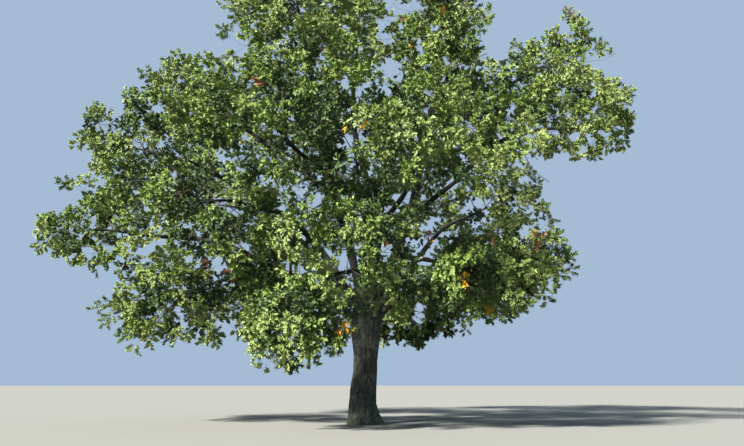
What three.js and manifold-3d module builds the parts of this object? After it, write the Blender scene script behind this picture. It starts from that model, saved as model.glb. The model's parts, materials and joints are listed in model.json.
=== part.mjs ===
// A broad field oak: one short trunk, boughs that spread from its fork, and a wide crown.
// Millimetres, Z up. The origin is the middle of the flat cut under the trunk, and the front is -Y.
// Each bough bends in one curve from its parent to the middle of a mass of foliage. It stops
// inside that mass, where the mass's own stem carries the same curve on.
// Each mass keeps to its own space: an ellipsoid, cut flat where it meets its neighbours.
import * as THREE from "three";
import Module from "manifold-3d";

const wasm = await Module();
wasm.setup();

// Trunk
const FORK_HEIGHT = 3400;
const FORK_SHIFT = 60;
const TRUNK_SIDES = 16;
const TRUNK_HEIGHTS = [0, 120, 320, 620, 1100, 1750, 2350, 2800, 3150, 3450, 3620];
const TRUNK_RADII = [620, 570, 510, 470, 440, 410, 420, 480, 540, 520, 360];
const TRUNK_SHIFTS = [50, 15, -30, -50, -35, 35, 60, 55, 55, 60, 60];
const ROOT_LOBES = 5;
const ROOT_LOBE_DEPTH = 0.17;
const ROOT_LOBE_HEIGHT = 520;
const ROOT_LOBE_TURN = 0.4;

// Boughs
const CLEARANCE = 0.3;
const BOUGH_STEP = 1450;
const BOUGH_TIP = 60;
const COLLAR = 0.35;
const COLLAR_LENGTH = 420;
const CROOK = 0.02;
const CROOK_WAVES = [9, 13];
const CROOK_RISE = 0.6;
const CROOK_PHASE = 1.7;
const ENTRY = 0.62;
const MAIN_BOUGH_SIDES = 7;
const SIDE_BOUGH_SIDES = 5;

// Foliage
const SPACE_GAP = 20;
const NEIGHBOUR_RANGE = 500;
const LIMB_RANGE = 600;
const STEM_PARTS = 3;
const STEM_END = 48;
const STEM_JOINTS = 8;
const STEM_JOINT_SHARES = [0.3, 0.97];
const SEED = 1000;
const TWIGS = 8.9;
const FORK_RATIO = 0.46;
const TWIG_TAPER = 0.75;
const TWIG_ORDERS = 1;
const TWIG_JOINTS = [0.4, 0.6];
const TWIG_SIDES = 3;
const TWIG_CLEARANCE = 60;
const TWIG_TESTS = [0.15, 0.3, 0.45, 0.6, 0.75, 0.9, 1];
const PATH_WEIGHT = 0.55;
const MASS_SIZE = 2450;
const LEAF_LENGTH = 2150;
const LEAF_WIDTH = 1900;
const LEAF_THICKNESS = 70;
const LEAF_WIDEST = 0.45;
const LEAF_CLEARANCE = 200;
const LEAF_INSIDE = 0.995;
const LEAF_FACE_SCATTER = 0.9;
const LEAF_FACE_RISE = 0.3;
const LEAF_TRIES = 24;
const LEAF_BEND = 0.62;
const END_TRIES = 6;
const END_SCATTER = 0.25;
const END_DEPTH = [0.45, 0.2];
const END_NEAREST = 0.35;
const END_PULL = 0.5;
const END_SPREAD = [0.7, 0.7];
const SIDE_SPREAD = [0.9, 0.8];
const SIDE_LEAF_SHARE = 0.75;
const GOLDEN_ANGLE = Math.PI * (3 - Math.sqrt(5));

const BARK = 0x57524a;
const BOUGH_BARK = 0x4c4840;
const LEAF_GREENS = [0x5f7a3c, 0x55703a, 0x698545, 0x4d6836];

const vec = (x, y, z) => new THREE.Vector3(x, y, z);
const UP = vec(0, 0, 1);
const moved = (point, direction, distance) => point.clone().addScaledVector(direction, distance);
const mixed = (a, b, share) => a.clone().lerp(b, share);

function mass(name, centre, half, parent, share, rise, radius) {
  const leafScale = Math.cbrt(half[0] * half[1] * half[2]) / MASS_SIZE;
  return { name, centre: vec(...centre), half: vec(...half), leafScale, parent, share, rise, radius };
}

// Name, middle and half sizes of each mass, then the limb that its bough leaves, how far along
// that limb, the angle at which the bough sets out, and the bough's radius at its foot.
const masses = [
  mass("left_tip", [-9350, -500, 6500], [2400, 2500, 2050], "trunk", 0.9, 44, 150),
  mass("left_main", [-8750, 900, 9950], [2350, 2900, 2150], "trunk", 0.96, 66, 160),
  mass("leader_left", [-2550, -700, 15300], [2850, 2700, 2100], "trunk", 1, 76, 170),
  mass("leader_mid", [-500, 3100, 16100], [2500, 2900, 2000], "trunk", 1, 84, 190),
  mass("leader_right", [2850, -100, 15400], [1950, 2800, 2100], "trunk", 1, 64, 190),
  mass("right_low", [5200, 300, 5600], [2600, 2500, 1850], "trunk", 0.92, 48, 120),
  mass("front_main", [1800, -6800, 7800], [3150, 2600, 2300], "trunk", 0.95, 56, 140),
  mass("back_right", [5300, 5600, 8800], [2800, 3200, 2300], "trunk", 0.93, 52, 150),
  mass("back_left", [-6400, 5700, 8900], [3200, 3200, 2300], "trunk", 0.95, 56, 150),
  mass("right_main", [8700, 300, 10750], [1800, 2700, 1300], "leader_right", 0.55, 16, 110),
  mass("left_low", [-6600, 0, 4000], [2950, 2700, 1850], "left_tip", 0.35, 20, 90),
  mass("left_front_low", [-1900, -4400, 3200], [1800, 2000, 1850], "front_main", 0.3, 15, 70),
  mass("left_front", [-4900, -4000, 6600], [3100, 2700, 2400], "left_main", 0.3, 40, 100),
  mass("front_low", [0, -4900, 5000], [3000, 3100, 2300], "front_main", 0.45, 20, 70),
  mass("right_front_low", [3300, -4300, 4350], [2300, 2200, 1450], "front_main", 0.35, 15, 80),
  mass("right_back_low", [1800, 4200, 3900], [2100, 2100, 1500], "back_right", 0.3, 10, 70),
  mass("back_right_low", [4100, 6300, 5100], [3400, 2800, 1800], "back_right", 0.5, 15, 80),
  mass("back_main", [200, 8200, 9200], [3300, 2800, 2300], "leader_mid", 0.2, 45, 120),
  mass("back_left_low", [-3400, 6400, 5100], [3500, 2800, 1800], "back_left", 0.5, 15, 80),
  mass("front_left", [-2700, -6300, 8350], [2950, 2500, 2350], "leader_left", 0.25, 50, 100),
  mass("right_front", [5600, -3900, 9500], [2800, 2800, 1600], "leader_right", 0.35, 30, 100),
  mass("right_upper", [7100, 900, 13300], [2400, 2700, 1900], "leader_right", 0.6, 45, 100),
  mass("left_upper", [-6200, -400, 11100], [2400, 2800, 1750], "leader_left", 0.4, 45, 100),
  mass("front_left_upper", [-1850, -4500, 11800], [2600, 2600, 2300], "leader_left", 0.5, 50, 80),
  mass("front_right_upper", [2750, -3900, 11150], [2050, 2700, 1900], "leader_right", 0.5, 50, 80),
  mass("right_back_upper", [3700, 4800, 12700], [3300, 3000, 2300], "leader_right", 0.42, 45, 90),
  mass("left_back_upper", [-3600, 4800, 12700], [3300, 3000, 2300], "leader_mid", 0.35, 45, 90),
  mass("middle_front", [-300, -2900, 8600], [2600, 1900, 2200], "front_main", 0.25, 65, 70),
  mass("left_inner", [-3400, -1400, 5300], [2100, 2100, 1600], "left_tip", 0.2, 30, 70),
];
const massNamed = new Map(masses.map((each) => [each.name, each]));

function seeded(seed) {
  let state = seed >>> 0;
  return () => {
    state = (state + 0x6d2b79f5) >>> 0;
    let t = state;
    t = Math.imul(t ^ (t >>> 15), t | 1);
    t ^= t + Math.imul(t ^ (t >>> 7), t | 61);
    return ((t ^ (t >>> 14)) >>> 0) / 4294967296;
  };
}

function solid(points, faces) {
  return new wasm.Manifold(new wasm.Mesh({
    numProp: 3,
    vertProperties: Float32Array.from(points.flatMap((p) => [p.x, p.y, p.z])),
    triVerts: Uint32Array.from(faces.flat()),
  }));
}

// Joins rings of any counts, one after the other, and closes each end by a fan.
// The first points of all rings stand on one side, and a single point makes a tip.
function skin(rings) {
  const faces = [];
  let base = 0;
  for (let i = 0; i + 1 < rings.length; i++) {
    const low = rings[i].length;
    const high = rings[i + 1].length;
    const top = base + low;
    const lowSteps = low > 1 ? low : 0;
    const highSteps = high > 1 ? high : 0;
    let a = 0;
    let b = 0;
    while (a < lowSteps || b < highSteps) {
      if (b === highSteps || (a < lowSteps && (a + 0.5) / low <= (b + 0.5) / high)) {
        faces.push([base + a, base + (a + 1) % low, top + b % high]);
        a++;
      } else {
        faces.push([base + a % low, top + (b + 1) % high, top + b]);
        b++;
      }
    }
    base = top;
  }
  for (let k = 1; k + 1 < rings[0].length; k++) {
    faces.push([0, k + 1, k]);
  }
  for (let k = 1; k + 1 < rings[rings.length - 1].length; k++) {
    faces.push([base, base + k, base + k + 1]);
  }
  return solid(rings.flat(), faces);
}

function ring(middle, side, across, radius, sides, turn) {
  return Array.from({ length: sides }, (_, k) => {
    const angle = (2 * Math.PI * k) / sides + turn;
    return moved(moved(middle, side, radius * Math.cos(angle)), across, radius * Math.sin(angle));
  });
}

// A tube of flat faces along a path. Its first or last ring may be turned to a given direction.
function tube(path, radii, sides, { first, last } = {}) {
  let side = null;
  const rings = path.map((point, i) => {
    const before = path[Math.max(i - 1, 0)];
    const after = path[Math.min(i + 1, path.length - 1)];
    const turned = (i === 0 && first) || (i === path.length - 1 && last);
    const ahead = turned ? turned.clone() : after.clone().sub(before).normalize();
    if (!side) {
      side = Math.abs(ahead.z) < 0.9 ? UP.clone() : vec(1, 0, 0);
    }
    side.addScaledVector(ahead, -side.dot(ahead)).normalize();
    return ring(point, side, ahead.clone().cross(side), radii[i], sides, 0);
  });
  return skin(rings);
}

// Flared foot with root lobes, a slight lean, and a swell under the fork.
function trunkSolid(extra) {
  const last = TRUNK_HEIGHTS.length - 1;
  const rings = TRUNK_HEIGHTS.map((height, i) => {
    const foot = Math.exp(-height / ROOT_LOBE_HEIGHT);
    const z = i === last ? height + extra : height;
    return Array.from({ length: TRUNK_SIDES }, (_, k) => {
      const angle = (2 * Math.PI * k) / TRUNK_SIDES;
      const lobe = 1 + ROOT_LOBE_DEPTH * foot * Math.cos(ROOT_LOBES * angle + ROOT_LOBE_TURN);
      const radius = TRUNK_RADII[i] * lobe + extra;
      return vec(TRUNK_SHIFTS[i] + radius * Math.cos(angle), radius * Math.sin(angle), z);
    });
  });
  return skin(rings);
}

// A bough's curve from its parent, share 0, to the middle of its mass, share 1.
function curveOf(each) {
  const start = each.parent === "trunk"
    ? vec(FORK_SHIFT * each.share, 0, FORK_HEIGHT * each.share)
    : pointOn(massNamed.get(each.parent), each.share * massNamed.get(each.parent).entry);
  const chord = each.centre.clone().sub(start);
  const length = chord.length();
  const level = vec(chord.x, chord.y, 0).normalize();
  const rise = THREE.MathUtils.degToRad(each.rise);
  const set = level.clone().multiplyScalar(Math.cos(rise)).addScaledVector(UP, Math.sin(rise));
  const bend = moved(start, set, length / 2);
  const aside = level.clone().cross(UP);
  return { start, bend, aside, length };
}

function pointOn(each, t) {
  const { start, bend, aside, length } = each.curve;
  const point = start.clone().multiplyScalar((1 - t) * (1 - t));
  point.addScaledVector(bend, 2 * t * (1 - t)).addScaledVector(each.centre, t * t);
  const fade = 4 * t * (1 - t) * CROOK * length;
  point.addScaledVector(aside, fade * Math.sin(CROOK_WAVES[0] * t + each.phase));
  return point.addScaledVector(UP, fade * CROOK_RISE * Math.sin(CROOK_WAVES[1] * t + 2 * each.phase));
}

// How far an ellipsoid reaches from its middle along a direction.
function reach(each, direction) {
  const { x, y, z } = each.half;
  return 1 / Math.hypot(direction.x / x, direction.y / y, direction.z / z);
}

// Flat limits between neighbours, each held as an outward normal and its distance.
function setLimits() {
  masses.forEach((each) => { each.limits = []; });
  masses.forEach((a, i) => {
    masses.slice(i + 1).forEach((b) => {
      const normal = b.centre.clone().sub(a.centre);
      const distance = normal.length();
      normal.divideScalar(distance);
      const reachA = reach(a, normal);
      const reachB = reach(b, normal);
      if (reachA + reachB < distance - NEIGHBOUR_RANGE) {
        return;
      }
      const at = normal.dot(a.centre) + (distance * reachA) / (reachA + reachB);
      a.limits.push({ normal, at: at - SPACE_GAP / 2 });
      b.limits.push({ normal: normal.clone().negate(), at: -at - SPACE_GAP / 2 });
    });
  });
}

// How far a mass's space reaches from its middle along a direction.
function border(each, direction) {
  return each.limits.reduce((far, { normal, at }) => {
    const slope = normal.dot(direction);
    return slope > 1e-6 ? Math.min(far, (at - normal.dot(each.centre)) / slope) : far;
  }, reach(each, direction));
}

function inSpace(each, point, scale) {
  const offset = point.clone().sub(each.centre);
  const distance = offset.length();
  return distance < 1 || distance < scale * border(each, offset.divideScalar(distance));
}

// The bough ends where all the rest of its curve lies well inside its mass.
function entryOf(each) {
  let t = 1;
  while (t > 0.02 && inSpace(each, pointOn(each, t - 0.01), ENTRY)) {
    t -= 0.01;
  }
  return t;
}

function setLimbs() {
  masses.forEach((each, i) => {
    each.phase = CROOK_PHASE * i;
    each.curve = curveOf(each);
    each.entry = entryOf(each);
    each.tipAhead = pointOn(each, each.entry + 0.01).sub(pointOn(each, each.entry - 0.01)).normalize();
    const steps = Math.max(3, Math.round((each.entry * each.curve.length) / BOUGH_STEP));
    each.path = Array.from({ length: steps + 1 }, (_, k) => pointOn(each, (each.entry * k) / steps));
    each.radii = each.path.map((point, k) => {
      const plain = THREE.MathUtils.lerp(each.radius, BOUGH_TIP, k / steps);
      const collar = COLLAR * Math.exp(-point.distanceTo(each.path[0]) / COLLAR_LENGTH);
      return plain * (1 + collar);
    });
  });
}

function boughSolid(each, extra) {
  const sides = each.parent === "trunk" ? MAIN_BOUGH_SIDES : SIDE_BOUGH_SIDES;
  const path = each.path.map((point) => point.clone());
  path[path.length - 1].addScaledVector(each.tipAhead, extra);
  const radii = each.radii.map((radius) => radius + (extra && extra / Math.cos(Math.PI / sides)));
  return tube(path, radii, sides, { last: each.tipAhead });
}

function largest(shape) {
  return shape.decompose().reduce((a, b) => (b.volume() > a.volume() ? b : a));
}

function distanceToPart(point, a, b) {
  const part = b.clone().sub(a);
  const share = THREE.MathUtils.clamp(point.clone().sub(a).dot(part) / part.lengthSq(), 0, 1);
  return point.distanceTo(moved(a, part, share));
}

// The parts of limbs that come near a mass, each with its radius.
function limbsNear(each) {
  const room = Math.max(each.half.x, each.half.y, each.half.z) + LIMB_RANGE;
  const near = [];
  const consider = (a, b, radius) => {
    if (distanceToPart(each.centre, a, b) < room + radius) {
      near.push({ a, b, radius });
    }
  };
  consider(vec(0, 0, 0), vec(FORK_SHIFT, 0, FORK_HEIGHT), TRUNK_RADII[0]);
  masses.forEach(({ path, radii }) => {
    for (let k = 0; k + 1 < path.length; k++) {
      consider(path[k], path[k + 1], Math.max(radii[k], radii[k + 1]));
    }
  });
  return near;
}

function clearOf(near, point, clearance) {
  return near.every(({ a, b, radius }) => distanceToPart(point, a, b) > radius + clearance);
}

function bladePoint(leaf, along, across) {
  const point = moved(leaf.root, leaf.ahead, along * leaf.length);
  return point.addScaledVector(leaf.aside, across * leaf.width);
}

function corners(leaf) {
  return [
    leaf.root,
    bladePoint(leaf, LEAF_WIDEST, 0.5),
    bladePoint(leaf, 1, 0),
    bladePoint(leaf, LEAF_WIDEST, -0.5),
  ];
}

// Whether the line from a to b passes through a leaf's blade.
function cuts(leaf, a, b) {
  const heightA = leaf.face.dot(a.clone().sub(leaf.root));
  const heightB = leaf.face.dot(b.clone().sub(leaf.root));
  if (heightA * heightB > 0) {
    return false;
  }
  const at = mixed(a, b, heightA / (heightA - heightB)).sub(leaf.root);
  const along = at.dot(leaf.ahead) / leaf.length;
  const across = Math.abs(at.dot(leaf.aside)) / leaf.width;
  return across < 0.5 * Math.min(along / LEAF_WIDEST, (1 - along) / (1 - LEAF_WIDEST)) + 0.02;
}

function leavesCross(one, other) {
  const a = corners(one);
  const b = corners(other);
  return a.some((_, k) => cuts(other, a[k], a[(k + 1) % 4]) || cuts(one, b[k], b[(k + 1) % 4]));
}

// A leaf is kept only if its corners stay in the space, its blade clears the limbs, and it
// crosses none of the twigs and leaves already there.
function leafFits(each, near, grown, leaf) {
  if (!corners(leaf).every((point) => inSpace(each, point, LEAF_INSIDE))) {
    return false;
  }
  if (grown.twigs.some((twig) => cuts(leaf, twig.from, twig.to))
    || grown.leaves.some((other) => leavesCross(leaf, other))) {
    return false;
  }
  for (let i = 1; i <= 7; i++) {
    const along = i / 7;
    const half = 0.5 * Math.min(along / LEAF_WIDEST, (1 - along) / (1 - LEAF_WIDEST));
    for (let k = -2; k <= 2; k++) {
      if (!clearOf(near, bladePoint(leaf, along, (half * k) / 2), LEAF_CLEARANCE)) {
        return false;
      }
    }
  }
  return true;
}

// Tries directions from one root until a leaf fits, a little smaller each time. The leaf opens
// from the outward direction by the spread, and keeps within a bend of the given direction.
function findLeaf(each, near, grown, random, { root, out, around, spread, along, bend }) {
  const side = out.clone().cross(UP);
  if (side.length() < 0.05) {
    side.set(1, 0, 0);
  }
  side.normalize();
  const over = side.clone().cross(out);
  for (let attempt = 0; attempt < LEAF_TRIES; attempt++) {
    const turn = around + (random() - 0.5) * (1.2 + 0.2 * attempt);
    const open = spread[0] + spread[1] * random();
    const ahead = moved(out, side, Math.cos(turn) * open);
    ahead.addScaledVector(over, 0.7 * Math.sin(turn) * open).normalize();
    const scatter = vec(random() - 0.5, random() - 0.5, random() - 0.5);
    const facing = moved(out, scatter, LEAF_FACE_SCATTER).addScaledVector(UP, LEAF_FACE_RISE);
    ahead.addScaledVector(along, bend).normalize();
    const aside = ahead.clone().cross(facing);
    if (aside.length() < 0.3 || (bend && ahead.dot(along) < LEAF_BEND)) {
      continue;
    }
    aside.normalize();
    const size = each.leafScale * (1 - 0.02 * attempt);
    const leaf = {
      root, ahead, aside,
      face: aside.clone().cross(ahead),
      length: LEAF_LENGTH * size,
      width: LEAF_WIDTH * size,
    };
    if (leafFits(each, near, grown, leaf)) {
      return leaf;
    }
  }
  return null;
}

// Where the twigs of a mass may end: spread evenly round it by the golden angle, about half a
// leaf inside the border, with a few scattered choices for each, sorted outward from the stem.
function twigEnds(each, from, random) {
  const phase = random() * 2 * Math.PI;
  const ends = [];
  const count = Math.round(TWIGS * Math.sqrt(each.leafScale));
  for (let k = 0; k < count; k++) {
    const z = 1 - (2 * (k + 0.5)) / count;
    const flat = Math.sqrt(1 - z * z);
    const turn = k * GOLDEN_ANGLE + phase;
    const choices = Array.from({ length: END_TRIES }, (_, i) => {
      const out = vec(flat * Math.cos(turn), flat * Math.sin(turn), z);
      out.addScaledVector(vec(random() - 0.5, random() - 0.5, random() - 0.5), END_SCATTER * i);
      out.multiply(each.half).normalize();
      const far = border(each, out);
      const deep = each.leafScale * LEAF_LENGTH * (END_DEPTH[0] + END_DEPTH[1] * random());
      return { out, point: moved(each.centre, out, Math.max(END_NEAREST * far, far - deep)) };
    });
    ends.push({ choices, reach: choices[0].point.distanceTo(from) });
  }
  return ends.sort((a, b) => a.reach - b.reach);
}

// Points along the stem where twigs can join it.
function stemJoints(stem) {
  const length = stem[0].distanceTo(stem[STEM_PARTS]);
  return Array.from({ length: STEM_JOINTS }, (_, k) => {
    const share = THREE.MathUtils.lerp(...STEM_JOINT_SHARES, k / (STEM_JOINTS - 1));
    const part = Math.floor(share * STEM_PARTS);
    const point = mixed(stem[part], stem[part + 1], share * STEM_PARTS - part);
    const radius = THREE.MathUtils.lerp(BOUGH_TIP, STEM_END, share);
    return { point, way: share * length, radius, order: 0 };
  });
}

// A twig to one end, if it finds a clear way there and a leaf fits on it. It joins the nearest
// free joint, with a bias toward short ways back to the stem, and each joint is used once.
function growTwig(each, near, grown, random, { out, point }) {
  const open = (from) =>
    TWIG_TESTS.every((share) => clearOf(near, mixed(from, point, share), TWIG_CLEARANCE))
    && !grown.leaves.some((leaf) => cuts(leaf, from, point));
  const cost = (joint) => point.distanceTo(joint.point) + PATH_WEIGHT * joint.way;
  const joint = [...grown.joints].sort((a, b) => cost(a) - cost(b)).find((from) => open(from.point));
  if (!joint) {
    return false;
  }
  const reachOut = point.distanceTo(joint.point);
  const along = point.clone().sub(joint.point).divideScalar(reachOut);
  const around = random() * 2 * Math.PI;
  const end = findLeaf(each, near, grown, random, {
    root: point, out, around, spread: END_SPREAD, along, bend: END_PULL,
  });
  if (!end) {
    return false;
  }
  grown.leaves.push(end);
  const side = findLeaf(each, near, grown, random, {
    root: mixed(joint.point, point, SIDE_LEAF_SHARE),
    out, around: around + Math.PI, spread: SIDE_SPREAD, along, bend: 0,
  });
  if (side) {
    grown.leaves.push(side);
  }
  const foot = joint.radius * FORK_RATIO;
  grown.twigs.push({ from: joint.point, to: point, foot, tip: foot * TWIG_TAPER, end, side });
  grown.joints.splice(grown.joints.indexOf(joint), 1);
  if (joint.order < TWIG_ORDERS) {
    TWIG_JOINTS.forEach((share) => grown.joints.push({
      point: mixed(joint.point, point, share),
      way: joint.way + reachOut * share,
      radius: foot * THREE.MathUtils.lerp(1, TWIG_TAPER, share),
      order: joint.order + 1,
    }));
  }
  return true;
}

// Stem and twigs of one mass, with their leaves.
function growth(each, index) {
  const random = seeded(SEED + index);
  const near = limbsNear(each);
  const stem = Array.from({ length: STEM_PARTS + 1 },
    (_, k) => pointOn(each, each.entry + ((1 - each.entry) * k) / STEM_PARTS));
  stem[0].addScaledVector(each.tipAhead, CLEARANCE);
  const grown = { twigs: [], leaves: [], joints: stemJoints(stem) };
  twigEnds(each, stem[1], random).forEach(({ choices }) => {
    choices.some((choice) => growTwig(each, near, grown, random, choice));
  });
  return { stem, twigs: grown.twigs };
}

function leafRing(leaf) {
  const middle = bladePoint(leaf, LEAF_WIDEST, 0);
  return [
    bladePoint(leaf, LEAF_WIDEST, 0.5),
    moved(middle, leaf.face, -LEAF_THICKNESS / 2),
    bladePoint(leaf, LEAF_WIDEST, -0.5),
    moved(middle, leaf.face, LEAF_THICKNESS / 2),
  ];
}

// A three-sided twig whose end opens into a leaf. One of its flats faces the leaf beside it.
function twigSolid({ from, to, foot, tip, end, side: beside }) {
  const along = to.clone().sub(from).normalize();
  const side = moved(end.aside, along, -end.aside.dot(along)).normalize();
  const across = along.clone().cross(side);
  const third = (2 * Math.PI) / TWIG_SIDES;
  let turn = third / 4;
  if (beside) {
    const flat = Math.atan2(beside.ahead.dot(across), beside.ahead.dot(side)) - third / 2 - turn;
    turn += flat - third * Math.round(flat / third);
  }
  return skin([
    ring(from, side, across, foot, TWIG_SIDES, turn),
    ring(to, side, across, tip, TWIG_SIDES, turn),
    leafRing(end),
    [bladePoint(end, 1, 0)],
  ]);
}

function massSolid(each, index) {
  const { stem, twigs } = growth(each, index);
  const radii = stem.map((_, k) => THREE.MathUtils.lerp(BOUGH_TIP, STEM_END, k / STEM_PARTS));
  const pieces = [tube(stem, radii, TWIG_SIDES, { first: each.tipAhead })];
  twigs.forEach((twig) => {
    pieces.push(twigSolid(twig));
    if (twig.side) {
      pieces.push(skin([[twig.side.root], leafRing(twig.side), [bladePoint(twig.side, 1, 0)]]));
    }
  });
  return largest(wasm.Manifold.union(pieces));
}

function meshOf(name, shape, color, roughness) {
  const { vertProperties, triVerts, numProp } = shape.getMesh();
  const geometry = new THREE.BufferGeometry();
  const positions = new Float32Array((vertProperties.length / numProp) * 3);
  for (let i = 0; i < positions.length / 3; i++) {
    positions.set(vertProperties.subarray(i * numProp, i * numProp + 3), i * 3);
  }
  geometry.setAttribute("position", new THREE.BufferAttribute(positions, 3));
  geometry.setIndex(new THREE.BufferAttribute(new Uint32Array(triVerts), 1));
  geometry.computeVertexNormals();
  const material = new THREE.MeshStandardMaterial({ color, roughness, metalness: 0 });
  const mesh = new THREE.Mesh(geometry, material);
  mesh.name = name;
  return mesh;
}

setLimits();
setLimbs();

const oak = new THREE.Group();
oak.name = "oak_tree";
oak.add(meshOf("trunk", trunkSolid(0), BARK, 0.9));

// Each bough gives way to the trunk and to the boughs made before it.
const standing = [trunkSolid(CLEARANCE)];
masses.forEach((each) => {
  const bough = largest(boughSolid(each, 0).subtract(wasm.Manifold.union(standing)));
  standing.push(boughSolid(each, CLEARANCE));
  oak.add(meshOf(`bough_${each.name}`, bough, BOUGH_BARK, 0.9));
});

masses.forEach((each, i) => {
  const green = LEAF_GREENS[i % LEAF_GREENS.length];
  oak.add(meshOf(`foliage_${each.name}`, massSolid(each, i), green, 0.7));
});

export default oak;
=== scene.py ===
import json
import math
from types import SimpleNamespace

import bpy
import numpy as np
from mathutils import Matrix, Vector, noise

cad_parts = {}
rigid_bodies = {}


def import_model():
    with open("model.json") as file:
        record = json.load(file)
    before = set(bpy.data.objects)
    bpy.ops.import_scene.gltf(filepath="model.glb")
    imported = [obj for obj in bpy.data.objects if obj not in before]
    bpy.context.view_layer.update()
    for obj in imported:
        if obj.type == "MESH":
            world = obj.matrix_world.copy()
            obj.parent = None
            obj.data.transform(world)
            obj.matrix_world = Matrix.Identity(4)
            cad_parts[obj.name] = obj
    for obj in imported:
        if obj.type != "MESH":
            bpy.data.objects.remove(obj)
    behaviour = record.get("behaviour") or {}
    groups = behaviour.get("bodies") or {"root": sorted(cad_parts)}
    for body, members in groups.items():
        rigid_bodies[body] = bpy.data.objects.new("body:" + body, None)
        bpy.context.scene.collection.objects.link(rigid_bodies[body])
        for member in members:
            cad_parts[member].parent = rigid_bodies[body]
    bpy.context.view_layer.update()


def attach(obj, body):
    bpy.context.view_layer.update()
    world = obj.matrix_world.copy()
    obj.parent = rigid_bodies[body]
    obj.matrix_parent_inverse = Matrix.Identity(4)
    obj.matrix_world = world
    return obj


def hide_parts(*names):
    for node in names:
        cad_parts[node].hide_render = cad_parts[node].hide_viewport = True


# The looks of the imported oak: bark with relief, fine twigs, leaves in sprays, and the photo's view.
# Metres, Z up. The origin is the middle of the flat cut under the trunk, and the camera is at -Y.
# Limbs, stems and coarse twigs follow the same seeded rule as the solids. Each of the solids'
# large leaves marks out one spray, which grows here as side twigs, shoots and leaves.

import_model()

# The photo's frame, and the camera that fits it
PHOTO = (744, 446)
CAMERA = (0.27, -25.5, 1.27)
CAMERA_PITCH = 12.35
FOCAL_PIXELS = 740
SENSOR = 36

# Trunk
FORK_HEIGHT = 3.4
FORK_SHIFT = 0.06
TRUNK_HEIGHTS = [0, 0.12, 0.32, 0.62, 1.1, 1.75, 2.35, 2.8, 3.15, 3.45, 3.62]
TRUNK_RADII = [0.62, 0.57, 0.51, 0.47, 0.44, 0.41, 0.42, 0.48, 0.54, 0.52, 0.36]
TRUNK_SHIFTS = [0.05, 0.015, -0.03, -0.05, -0.035, 0.035, 0.06, 0.055, 0.055, 0.06, 0.06]
ROOT_LOBES = 5
ROOT_LOBE_DEPTH = 0.17
ROOT_LOBE_HEIGHT = 0.52
ROOT_LOBE_TURN = 0.4

# Boughs
CLEARANCE = 0.0003
BOUGH_STEP = 1.45
BOUGH_TIP = 0.06
COLLAR = 0.35
COLLAR_LENGTH = 0.42
CROOK = 0.02
CROOK_WAVES = (9, 13)
CROOK_RISE = 0.6
CROOK_PHASE = 1.7
LEAST_STEPS = 3
ENTRY = 0.62
ENTRY_STEP = 0.01
ENTRY_LEAST = 0.02

# Coarse twigs, and the large leaves that mark out the sprays
SPACE_GAP = 0.02
NEIGHBOUR_RANGE = 0.5
LIMB_RANGE = 0.6
STEM_PARTS = 3
STEM_END = 0.048
STEM_JOINTS = 8
STEM_JOINT_SHARES = (0.3, 0.97)
SEED = 1000
SEED_STEP = 0x6D2B79F5
SEED_MIX = 61
SEED_SHIFTS = (15, 7, 14)
WORD = 2 ** 32
TWIGS = 8.9
FORK_RATIO = 0.46
TWIG_TAPER = 0.75
TWIG_ORDERS = 1
TWIG_JOINTS = (0.4, 0.6)
TWIG_CLEARANCE = 0.06
TWIG_TESTS = np.array([0.15, 0.3, 0.45, 0.6, 0.75, 0.9, 1])
PATH_WEIGHT = 0.55
MASS_SIZE = 2.45
LEAF_LENGTH = 2.15
LEAF_WIDTH = 1.9
LEAF_WIDEST = 0.45
LEAF_CLEARANCE = 0.2
LEAF_INSIDE = 0.995
LEAF_TURN = (1.2, 0.2)
LEAF_FLATNESS = 0.7
LEAF_FACE_SCATTER = 0.9
LEAF_FACE_RISE = 0.3
LEAF_FACE_LEAST = 0.3
LEAF_TRIES = 24
LEAF_SHRINK = 0.02
LEAF_BEND = 0.62
CUT_MARGIN = 0.02
BLADE_ROWS = 7
BLADE_COLUMNS = np.linspace(-1, 1, 5)
LEVEL_LEAST = 0.05
END_TRIES = 6
END_SCATTER = 0.25
END_DEPTH = (0.45, 0.2)
END_NEAREST = 0.35
END_PULL = 0.5
END_SPREAD = (0.7, 0.7)
SIDE_SPREAD = (0.9, 0.8)
SIDE_LEAF_SHARE = 0.75
GOLDEN_ANGLE = math.pi * (3 - math.sqrt(5))
UP = np.array([0.0, 0.0, 1.0])
STEEP = 0.9
SLIGHT = 0.001
TINY = 1e-6

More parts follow.
